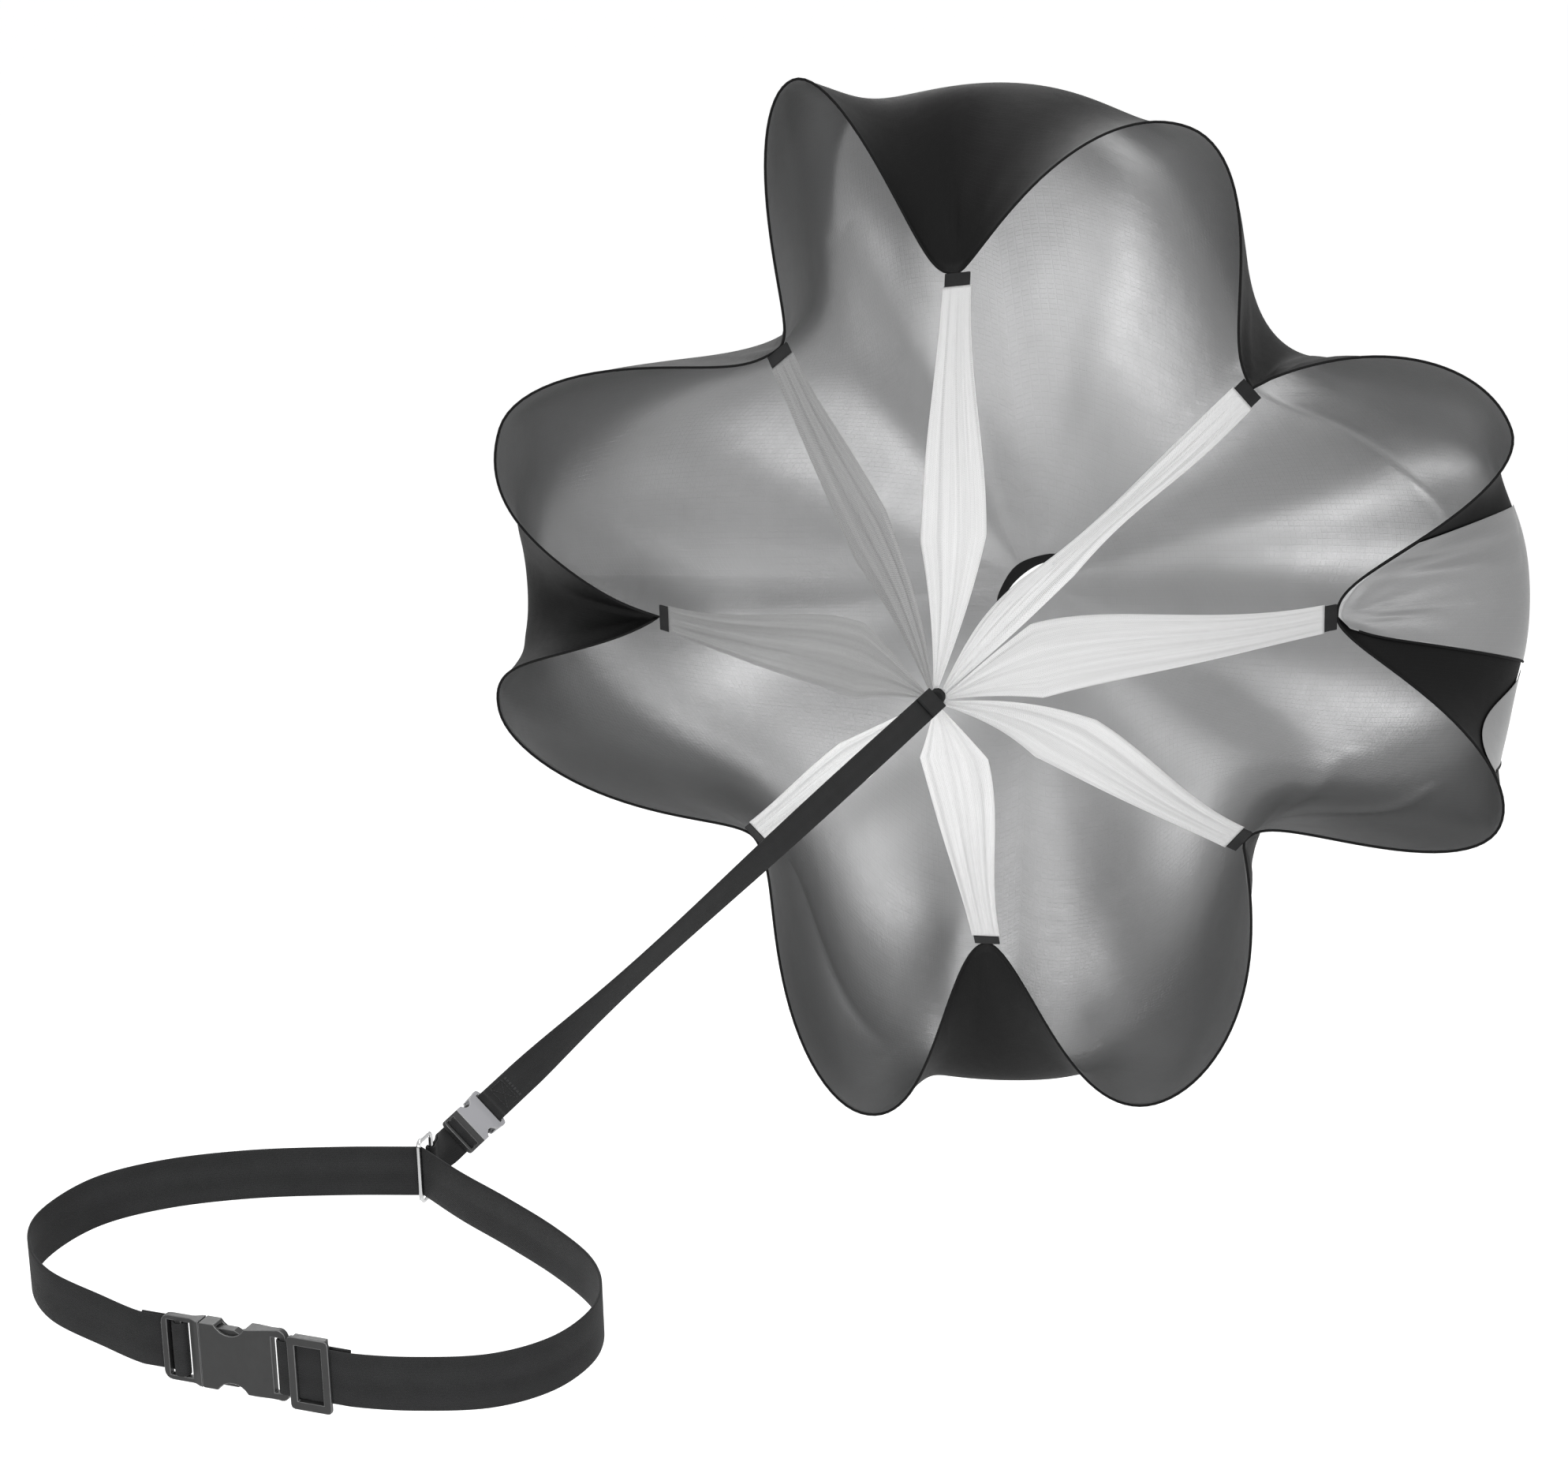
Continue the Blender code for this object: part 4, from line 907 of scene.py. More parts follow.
@dataclass
class Canopy:
    """The cloth with its hem, its turned-back lapels and its vent binding, and the net strips."""

    shape: CanopyShape = field(default_factory=CanopyShape)
    lobe_columns: int = 56
    rows: int = 100
    thickness: float = 0.0004
    ease_share: float = 0.14
    ease_from: float = 0.55
    crown_hold: float = 0.06
    hem_radius: float = 0.0016
    hem_sides: int = 8
    normal_easings: int = 8
    pucker: float = 0.0180
    pucker_reach: float = 0.050
    pucker_waves: tuple[int, ...] = (9, 14, 23)
    seed: int = 7
    body: str = "tether"
    tape_width: float = 0.014
    tape_rows: int = 7
    tape_length: float = 0.16
    tape_levels: tuple[float, float, float] = (0.0006, 0.0011, 0.0007)
    creases: tuple[Crease, ...] = (
        Crease((-0.330, -0.420), (-0.180, -0.560), -0.008, 0.022),
        Crease((0.230, 0.260), (0.450, 0.020), 0.010, 0.050, 0.002),
        Crease((0.480, -0.470), (0.330, -0.150), 0.005, 0.014, 0.003),
        Crease((0.490, -0.470), (0.500, -0.190), 0.006, 0.012, 0.003),
        Crease((-0.120, 0.600), (-0.200, 0.380), 0.006, 0.030),
    )
    lapels: tuple[Lapel, ...] = (
        Lapel("right", (0.0, -0.170, 0.30), (0.25, 0.25, 1.0)),
        Lapel("right_low", (-0.381, -0.400, 1.0), (-0.369, -0.190, 0.60), ridge=0.0),
    )

    def smoothed(self, grid: Array) -> Array:
        """Ease the cloth's lengthwise ridges, most at the crown and less towards the hem.

        Each row is blurred round the canopy with a bell curve, by its product with the bell curve's own
        spectrum. The bell's width is a share of a lobe, times one less an eased ramp along the meridian.
        """
        share = np.linspace(0.0, 1.0, len(grid))[:, None]
        width = self.ease_share * self.lobe_columns
        width = width * (1 - smoothstep((share - self.ease_from) / (1 - self.ease_from)))
        bell = np.exp(-2 * (np.pi * width * np.fft.fftfreq(grid.shape[1])[None]) ** 2)
        blurred = np.fft.ifft(np.fft.fft(grid, axis=1) * bell[..., None], axis=1).real
        hold = smoothstep(share / self.crown_hold)[..., None]
        return grid + (blurred - grid) * hold

    def folded(self, grid: Array, flat: Array) -> Array:
        """Pucker the cloth at its ties and lay its creases in it.

        Round each tie, on the cut cloth, the height is a sum of sines of the angle about the tie, each
        weaker the more waves it has. It is taken times the square of a fall, which is the distance over
        its reach times an exponential of one less that.
        """
        normal = surface_normals(grid, True)
        random = np.random.default_rng(self.seed)
        height = np.zeros(grid.shape[:2])
        for tie in self.shape.tie_places_on_cloth():
            away = flat - tie
            far = np.linalg.norm(away, axis=2)
            angle = np.arctan2(away[..., 1], away[..., 0])
            fall = (far / self.pucker_reach) * np.exp(1 - far / self.pucker_reach)
            for count in self.pucker_waves:
                phase, strength = random.uniform(0, 2 * np.pi), random.uniform(0.5, 1.0)
                height += self.pucker / count * strength * fall**2 * np.sin(count * angle + phase)
        height += sum(crease.lift(flat) for crease in self.creases)
        return grid + normal * height[..., None]

    def make_lapel(self, lapel: Lapel, grid: Array, flat: Array, outward: Array) -> list[bpy.types.Object]:
        """A lapel as a thin wall on the cloth's outside, with a hem along its low edge.

        Args:
            lapel: where it lies.
            grid: the cloth's middle surface.
            flat: each point's place on the cut cloth.
            outward: the normals that point out of the canopy.

        Returns:
            The lapel and its hem.
        """
        share, lobe, height = lapel.places()
        row, column = share * (len(grid) - 1), lobe * self.lobe_columns
        middle, out = between(grid, row, column), unit(between(outward, row, column))
        face = middle + out * (height + self.thickness)[..., None]
        sides = np.stack([face, middle + out * height[..., None]])
        turned = np.sum(np.cross(middle[0, 1] - middle[0, 0], middle[1, 0] - middle[0, 0]) * out[0, 0]) < 0
        name = f"canopy_lapel_{lapel.name}"
        mesh = thin_wall(name, sides, between(flat, row, column).reshape(-1, 2), turned)
        second_material(mesh, (lapel.rows - 1) * (lapel.columns - 1))
        flap = place_piece(name, mesh, [Look.LINING, Look.OUTSIDE], self.body, "coated_cloth")
        edge = tube(name + "_hem", sides.mean(axis=0)[2:, 0], self.hem_radius, self.hem_sides, False)
        return [flap, place_piece(name + "_hem", edge, [Look.OUTSIDE], self.body, "coated_cloth")]

    def make_cloth(self) -> bpy.types.Object:
        """The cloth: a closed thin wall, silver inside and black outside, with its hem and binding."""
        grid, flat = self.shape.surface(self.lobe_columns, self.rows)
        grid = self.folded(self.smoothed(grid), flat)
        normal = unit(eased(surface_normals(grid, True), self.normal_easings))
        inward = np.sign(np.sum(normal[0, 0] * -self.shape.axis))
        shift = normal * inward * self.thickness / 2
        rows, columns = grid.shape[:2]
        count = rows * columns
        inner = grid_faces(rows, columns, True, 0, inward < 0)
        outer = grid_faces(rows, columns, True, count, inward > 0)
        rims = []
        for first, turned in ((0, False), ((rows - 1) * columns, True)):
            ring = np.arange(columns) + first
            rim = band(ring, ring + count)
            rims.append(rim[:, ::-1] if turned == (inward > 0) else rim)
        quads = np.vstack([inner, outer, *rims])
        places = np.tile(flat.reshape(-1, 2), (2, 1))
        mesh = make_mesh("canopy", np.stack([grid + shift, grid - shift]), quads, places[quads])
        second_material(mesh, len(inner))
        cloth = place_piece("canopy", mesh, [Look.LINING, Look.OUTSIDE], self.body, "coated_cloth",
                            "canopy_cloth")
        edge = tube("canopy_hem", grid[-1], self.hem_radius, self.hem_sides, True)
        hem_piece = place_piece("canopy_hem", edge, [Look.OUTSIDE], self.body, "coated_cloth")
        binding = self.make_binding(grid, inward * normal)
        flaps = [piece for lapel in self.lapels
                 for piece in self.make_lapel(lapel, grid, flat, -inward * normal)]
        return cloth

    def make_binding(self, grid: Array, inside: Array) -> bpy.types.Object:
        """The vent's binding: a folded black tape of even width, sewn round the oval edge.

        Its back lies at one level over the cloth's middle. Its face lies at another, plus a half sine
        of the share of the width.
        """
        rows, columns = self.tape_rows, grid.shape[1]
        run = running_length(grid)
        width = np.linspace(0.0, self.tape_width, rows)[:, None]
        low = (run[None] <= width[:, None] + 1e-9).sum(axis=1) - 1
        column = np.broadcast_to(np.arange(columns), low.shape)
        row = low + (width - run[low, column]) / (run[low + 1, column] - run[low, column])
        middle, normal = between(grid, row, column), between(inside, row, column)
        back, face, swell = self.tape_levels
        face = (face + swell * np.sin(np.pi * np.linspace(0, 1, rows)))[:, None, None]
        ring, count = np.arange(columns), rows * columns
        last = ring + count - columns
        quads = np.vstack([grid_faces(rows, columns, True), grid_faces(rows, columns, True, count, True),
                           band(ring, ring + count), band(last, last + count)])
        places = np.tile(grid_map(np.linspace(0.0, self.tape_length, columns)[None], width), (2, 1))
        points = np.stack([middle + normal * face, middle + normal * back])
        mesh = make_mesh("vent_tape", points, quads, places[quads])
        close_ends(mesh)
        return place_piece("vent_tape", mesh, [Look.TETHER], self.body, "webbing", "vent_binding")

    def make(self) -> None:
        """Every piece of the canopy."""
        Strips(self.shape, self.body).make()
        self.make_cloth()


@dataclass
class Strips:
    """The eight net strips, each gathered at its tab and at the hub, with soft lengthwise pleats."""

    shape: CanopyShape
    body: str
    rim_width: float = 0.033
    belly_width: float = 0.078
    hub_width: float = 0.0044
    width_shares: tuple[float, ...] = (1.00, 0.90, 0.90, 0.90, 1.03, 0.64, 0.92, 1.03)
    belly_shares: tuple[float, ...] = (0.78, 0.66, 0.66, 0.58, 0.77, 0.60, 0.80, 0.66)
    sway_shares: tuple[float, ...] = (0.25, 0.15, -0.15, -0.15, -0.22, 0.00, 0.10, 0.28)
    pleats: tuple[int, int] = (3, 7)
    pleat_weights: tuple[float, float] = (0.36, 0.14)
    pleat_drift: float = 0.35
    pleat_height: float = 0.0045
    thickness: float = 0.0007
    map_size: tuple[float, float] = (0.68, 0.10)
    rolls: tuple[float, ...] = (20.0, 72.0, 0.0, 25.0, -15.0, 0.0, 0.0, -20.0)
    thin: tuple[int, ...] = (4, 5)
    rows: int = 120
    columns: int = 49
    seed: int = 3

    def width(self, share: Array, belly: float, belly_share: float) -> Array:
        """The width at shares of a strip: eased out from the rim to the belly, then in to the hub."""
        outward = np.clip(share / belly_share, 0.0, 1.0)
        inward = np.clip((1.0 - share) / (1.0 - belly_share), 0.0, 1.0)
        swell = np.sin(outward * np.pi / 2) ** 2
        from_rim = self.rim_width + (belly - self.rim_width) * swell
        from_hub = self.hub_width + (belly - self.hub_width) * inward
        return np.where(share < belly_share, from_rim, from_hub)

    def ends(self, turn: float) -> tuple[Array, Array]:
        """The rim end and the hub end of a strip's middle line."""
        shape = self.shape
        out = shape.core_radius + shape.clearance + self.thickness / 2
        return shape.place(turn, shape.mouth_radius, 0.0), shape.place(turn, out, -shape.hub_to_mouth)

    def strip(self, number: int, turn: float, roll: float) -> bpy.types.Object:
        """One strip.

        Its middle line is straight but for a sideways sway, a half sine of the squared share along it.
        Across it the point is a share of the width, and its pleats are a sum of sines of that share,
        whose height is the root of a half sine along the strip.
        """
        random = np.random.default_rng(self.seed + number)
        share = np.linspace(0.0, 1.0, self.rows)[:, None]
        across_share = np.linspace(-0.5, 0.5, self.columns)[None]
        rim, hub = self.ends(turn)
        along = unit(hub - rim)
        flat = self.shape.around(turn)
        out = np.cross(along, flat)
        angle = math.radians(roll) * np.sin(np.pi * share)
        across = np.cos(angle)[..., None] * flat + np.sin(angle)[..., None] * out
        normal = -np.sin(angle)[..., None] * flat + np.cos(angle)[..., None] * out
        belly = self.belly_width * self.width_shares[number - 1]
        width = self.width(share, belly, self.belly_shares[number - 1])
        sway = self.sway_shares[number - 1] * belly * np.sin(np.pi * share**2)
        phase = random.uniform(0, 2 * np.pi, 3)
        drift = self.pleat_drift * np.sin(2 * np.pi * share + phase[0])
        broad = np.sin(2 * np.pi * self.pleats[0] * across_share + drift + phase[1])
        narrow = np.sin(2 * np.pi * self.pleats[1] * across_share + phase[2] + 2 * drift)
        fold = self.pleat_weights[0] * broad + self.pleat_weights[1] * narrow
        height = self.pleat_height * np.sin(np.pi * share) ** 0.5 * fold
        middle = rim + (hub - rim) * share + sway * flat
        grid = middle[:, None, :] + (width * across_share)[..., None] * across + height[..., None] * normal
        face = surface_normals(grid, False)
        points = np.stack([grid + face * self.thickness / 2, grid - face * self.thickness / 2])
        flat_map = grid_map(share * self.map_size[0], across_share * self.map_size[1])
        mesh = thin_wall(f"net_{number}", points, flat_map)
        # Strips 4 and 5 take the darker netting, whose lower level is painted shade.
        look = Look.THIN_NET if number in self.thin else Look.NET
        return place_piece(f"net_{number}", mesh, [look], self.body, "white_net", f"net_strip_{number}")

    def make(self) -> None:
        """All eight strips."""
        for number, (turn, roll) in enumerate(zip(self.shape.tie_turns(), self.rolls), start=1):
            strip = self.strip(number, turn, roll)


# Webbing, seams and moulded pieces


@dataclass
class Run:
    """A strap's middle line, the direction of its width, and its normal at each point."""

    way: Array
    across: Array
    normal: Array = field(init=False)
    length: Array = field(init=False)

    def __post_init__(self) -> None:
        """Work out the normals and the lengths along the strap."""
        self.across = unit(np.broadcast_to(self.across, self.way.shape))
        self.normal = unit(np.cross(heading(self.way, False), self.across))
        self.length = running_length(self.way)

    def at(self, along: Array, off: Array, lift: float) -> tuple[Array, Array]:
        """Points at lengths along the strap and off its middle line, lifted, and the normals there."""
        way, across, normal = (np.stack([np.interp(along, self.length, values[:, k]) for k in range(3)], -1)
                               for values in (self.way, self.across, self.normal))
        return way + across * off[..., None] + normal * lift, unit(normal)


def box_and_cross(start: float, stop: float, half: float) -> Array:
    """The lines of a sewn box with a cross in it, each as two places along and across."""
    corners = np.array([(start, -half), (start, half), (stop, half), (stop, -half)])
    return corners[[(0, 1), (1, 2), (2, 3), (3, 0), (0, 2), (1, 3)]]


def bar_tack(start: float, half: float, passes: int, length: float = 0.003) -> Array:
    """The lines of a bar tack: a zigzag to and fro across the strap."""
    ends = np.stack([start + np.linspace(0.0, length, passes + 1),
                     np.where(np.arange(passes + 1) % 2 == 0, -half, half)], axis=1)
    return np.stack([ends[:-1], ends[1:]], axis=1)


@dataclass
class Seam:
    """Rows of lockstitches: short round threads that sink into the cloth at both ends."""

    pitch: float = 0.0028
    gap_share: float = 0.20
    radius: float = 0.00030
    sides: int = 6
    ring_shares: tuple[float, ...] = (0.0, 0.15, 0.5, 0.85, 1.0)
    ring_sizes: tuple[float, ...] = (0.25, 0.85, 1.0, 0.85, 0.25)

    def mesh(self, name: str, run: Run, lines: Array, lift: float) -> bpy.types.Mesh:
        """The threads along some lines on a strap.

        Each thread's middle line rises over the cloth by a half sine, and its radius falls to a
        quarter at both ends.

        Args:
            name: the mesh's name.
            run: the strap.
            lines: each line's two places along and across the strap.
            lift: the height of the cloth's face over the strap's middle surface.

        Returns:
            The mesh.
        """
        starts, ends = [], []
        for first, last in lines:
            count = max(1, round(float(np.linalg.norm(last - first)) / self.pitch))
            share = np.arange(count)[:, None] / count
            starts.append(first + (last - first) * (share + self.gap_share / 2 / count))
            ends.append(first + (last - first) * (share + (1 - self.gap_share / 2) / count))
        starts, ends = np.vstack(starts), np.vstack(ends)
        low, normal = run.at(starts[:, 0], starts[:, 1], lift)
        high, _ = run.at(ends[:, 0], ends[:, 1], lift)
        share, size = np.array(self.ring_shares), np.array(self.ring_sizes) * self.radius
        side = unit(np.cross(high - low, normal))
        rise = self.radius * np.sin(np.pi * share)
        middle = low[:, None] + (high - low)[:, None] * share[:, None] + normal[:, None] * rise[:, None]
        angle = np.linspace(0.0, 2 * np.pi, self.sides, endpoint=False)
        out = (np.cos(angle)[:, None] * side[:, None] + np.sin(angle)[:, None] * normal[:, None])[:, None]
        points = middle[:, :, None] + size[:, None, None] * out
        cap = np.array([(0, 1, 2, 3), (0, 3, 4, 5)])
        one = np.vstack([grid_faces(len(share), self.sides, True), cap[:, ::-1],
                         cap + (len(share) - 1) * self.sides])
        offset = np.arange(len(low)) * len(share) * self.sides
        quads = (one[None] + offset[:, None, None]).reshape(-1, 4)
        places = np.array([(0.0, 0.0), (0.0, 0.001), (0.001, 0.001), (0.001, 0.0)])
        return make_mesh(name, points, quads, np.tile(places, (len(quads), 1, 1)))

    def sew(self, name: str, run: Run, lines: Array, lift: float, body: str) -> bpy.types.Object:
        """Sew some lines on a strap as a piece that rides on a body."""
        return place_piece(name, self.mesh(name, run, lines, lift), [Look.THREAD], body, "webbing")


class Plastic(Enum):
    """The plastics: the finishes of the faces and of the rubbed edges, and the record's slot."""

    CHARCOAL = (Look.DARK, Look.DARK_EDGE, "dark_plastic")
    GREY = (Look.LIGHT, Look.LIGHT_EDGE, "grey_plastic")


def moulded(frame: dict, node: str, plastic: Plastic, body: str, edge: float = 0.00035) -> bpy.types.Object:
    """A moulded copy of a solid, with its flat faces whole again and its edges rounded and rubbed.

    Whole faces with more than four corners are cut into triangles, so that none bridges a window.

    Args:
        frame: the loaded frame.
        node: the solid that it copies and stands for.
        plastic: what it is moulded of.
        body: the body that it rides on.
        edge: the width of the rounded edges.

    Returns:
        The piece.
    """
    mesh = frame["nodes"][node].data.copy()
    mesh.name = node + "_moulding"
    mesh.materials.clear()
    shape = bmesh.new()
    shape.from_mesh(mesh)
    bmesh.ops.remove_doubles(shape, verts=shape.verts, dist=0.00001)
    bmesh.ops.dissolve_limit(shape, angle_limit=math.radians(1.0), verts=shape.verts, edges=shape.edges)
    many_sided = [face for face in shape.faces if len(face.verts) > 4]
    bmesh.ops.triangulate(shape, faces=many_sided, ngon_method="BEAUTY")
    shape.to_mesh(mesh)
    shape.free()
    mesh.shade_smooth()
    mesh.set_sharp_from_angle(angle=CORNER_ANGLE)
    *looks, slot = plastic.value
    piece = place_piece(node + "_moulding", mesh, looks, body, slot, node)
    bevel = piece.modifiers.new("rounded_edges", "BEVEL")
    bevel.width, bevel.segments = edge, 2
    bevel.limit_method, bevel.angle_limit = "ANGLE", CORNER_ANGLE
    bevel.harden_normals, bevel.use_clamp_overlap, bevel.material = True, False, 1
    return piece


@dataclass
class BuckleShape:
    """Where webbing goes round the bars of a side-release buckle, in the buckle's own frame.

    X runs from the clip to the body with the mouth at zero, Y through the buckle, Z along its width.
    """

    web: float
    thickness: float = 0.0018
    clearance: float = 0.0003
    body_length_share: float = 1.66
    clip_length_share: float = 0.80
    edge_thickness_share: float = 0.13
    bar_share: float = 0.12
    slot_share: float = 0.165
    arc_steps: tuple[int, int, int] = (30, 10, 24)
    wrap: float = field(init=False)
    middle_bar: float = field(init=False)
    end_bar: float = field(init=False)
    main_level: float = field(init=False)
    tail_level: float = field(init=False)

    def __post_init__(self) -> None:
        """Work out the bars' places and the levels of the two runs of webbing."""
        bar, slot = self.bar_share * self.web, self.slot_share * self.web
        edge = self.edge_thickness_share * self.web
        half = self.clearance + self.thickness / 2
        self.wrap = math.hypot(bar, edge) / 2 + half
        self.middle_bar = -self.clip_length_share * self.web + 1.5 * bar + slot
        self.end_bar = self.body_length_share * self.web - bar / 2
        self.main_level = edge / 2 + half
        self.tail_level = self.main_level + self.thickness + 2 * self.clearance

    def threaded_end(self) -> Array:
        """Webbing round the clip's middle bar, from the tail, over the bar, to the main run."""
        bar = self.middle_bar
        over = arc((bar, 0.0), self.wrap, 75, -180, self.arc_steps[0])
        under = arc((bar - self.wrap - self.main_level, 0.0), self.main_level, 15, 90, self.arc_steps[1])
        return np.vstack([[(bar - 2 * self.wrap, self.tail_level)], over, under])

    def looped_end(self, run: float, front: float, tail: float) -> Array:
        """Webbing round the body's end bar, from the front run, through the slot, to the tail behind."""
        bar = self.end_bar
        bent = arc((bar, 0.0), self.wrap, -90, -270, self.arc_steps[2])
        return np.vstack([[(bar + 2 * self.wrap, front)], bent, [(bar + 3 * self.wrap, tail)],
                          [(bar + run, tail)]])


def carried(matrix: Matrix, points: Array) -> Array:
    """Points of a local frame, two or three numbers each, in the world."""
    points = np.atleast_2d(points)
    if points.shape[1] == 2:
        points = np.hstack([points, np.zeros((len(points), 1))])
    placed = np.array(matrix)
    return points @ placed[:3, :3].T + placed[:3, 3]


@dataclass
class Belt:
    """The waist belt: one strap from the clip round the waist to the body, its buckle and its tri-glide."""

    width: float = 0.038
    half_width: float = 0.212
    half_depth: float = 0.161
    fold: float = 0.032
    steps: int = 14
    ring_steps: int = 12
    buckle_turn: float = -9.0
    buckle_shares: tuple[float, float] = (-0.150, -0.835)
    ring_shares: tuple[float, float] = (0.071, 1.0)
    ring_wire: float = 0.0035
    glide_gap: float = 0.004
    glide_length: float = 0.030
    glide_bar: float = 0.0020
    glide_travel: float = 0.012
    seam_margin: float = 0.004
    box_ends: tuple[float, float] = (0.004, 0.022)
    tack_at: float = 0.026
    tail_tack_at: float = 0.008
    tack_passes: int = 26
    mouldings: tuple[tuple[str, str, float], ...] = (
        ("waist_buckle_body", "belt", 0.0005), ("waist_buckle_clip", "belt", 0.0005),
        ("waist_buckle_prong_upper", "waist_prong_upper", 0.00035),
        ("waist_buckle_prong_lower", "waist_prong_lower", 0.00035), ("tri_glide", "tri_glide", 0.0005))
    left_way: tuple[tuple[float, float], ...] = (
        (-0.54, -0.655), (-0.79, -0.46), (-0.945, -0.20), (-1.0, 0.09),
        (-0.935, 0.44), (-0.76, 0.68), (-0.50, 0.85), (-0.20, 0.955))
    right_way: tuple[tuple[float, float], ...] = (
        (0.27, 0.79), (0.49, 0.56), (0.71, 0.31), (0.885, 0.06), (0.975, -0.18),
        (0.995, -0.43), (0.93, -0.69), (0.78, -0.875), (0.56, -0.955))
    shape: BuckleShape = field(init=False)
    matrix: Matrix = field(init=False)
    ring_bar: Array = field(init=False)

    def __post_init__(self) -> None:
        """Place the buckle and the ring's bar on the loop."""
        scale = np.array([self.half_width, self.half_depth])
        self.shape = BuckleShape(self.width)
        mouth = np.array(self.buckle_shares) * scale
        turn = Matrix.Rotation(math.radians(self.buckle_turn), 4, "Z")
        self.matrix = Matrix.Translation((mouth[0], mouth[1], 0.0)) @ turn
        self.ring_bar = np.array(self.ring_shares) * scale

    def way(self) -> Array:
        """The middle line of the strap, from its left tail round the waist to its right tail.

        Its runs between the buckle and the ring are Catmull-Rom curves, and it turns on arcs round the
        ring's bar and the buckle's bars.
        """
        shape, scale = self.shape, np.array([self.half_width, self.half_depth])
        knee = (self.ring_wire + shape.thickness) / 2 + shape.clearance
        leaving = shape.middle_bar - self.fold
        left = carried(self.matrix, np.vstack([[(leaving, shape.tail_level)], shape.threaded_end(),
                                               [(leaving, shape.main_level)]]))[:, :2]
        left_way, right_way = np.array(self.left_way) * scale, np.array(self.right_way) * scale
        into = math.degrees(math.atan2(*(self.ring_bar - left_way[-1])[::-1])) + 90
        out_of = math.degrees(math.atan2(*(right_way[0] - self.ring_bar)[::-1])) + 90
        bend = arc(tuple(self.ring_bar), knee, into, out_of, self.ring_steps)
        front = -shape.wrap
        tail = front + shape.thickness + self.glide_bar + 2 * shape.clearance
        glide = self.shape.body_length_share * self.width + self.glide_gap
        end = glide + self.glide_length + self.glide_travel
        right = carried(self.matrix, np.array([(end, front), (glide, front)]))[:, :2]
        last = carried(self.matrix, shape.looped_end(end - shape.end_bar, front, tail))[:, :2]
        steps = self.steps
        first_half = smooth_way(np.vstack([left[-2:], left_way, bend[:1]]), steps)[steps:]
        second_half = smooth_way(np.vstack([bend[-1:], right_way, right]), steps)[:-steps]
        flat = np.vstack([left, first_half[1:-1], bend, second_half[1:-1], right, last])
        return np.hstack([flat, np.zeros((len(flat), 1))])

    def make(self, frame: dict) -> None:
        """The strap with its seams, the buckle and the tri-glide."""
        run = Run(even_way(self.way(), STRAP_STEP), np.array([0.0, 0.0, 1.0]))
        strap = Strap(self.width)
        mesh = strap.mesh("belt_strap", run.way, run.across)
        place_piece("belt_strap", mesh, [Look.BELT], "belt", "webbing", "belt_webbing")
        half, lift = self.width / 2 - self.seam_margin, strap.thickness / 2
        threaded = self.fold + self.shape.wrap * 6
        lines = np.vstack([box_and_cross(*(threaded + end for end in self.box_ends), half),
                           bar_tack(threaded + self.tack_at, half, self.tack_passes)])
        Seam().sew("belt_seam_left", run, lines, lift, "belt")
        lines = bar_tack(run.length[-1] - self.tail_tack_at, half, self.tack_passes)
        Seam().sew("belt_seam_tail", run, lines, lift, "belt")
        for node, body, edge in self.mouldings:
            moulded(frame, node, Plastic.CHARCOAL, body, edge)


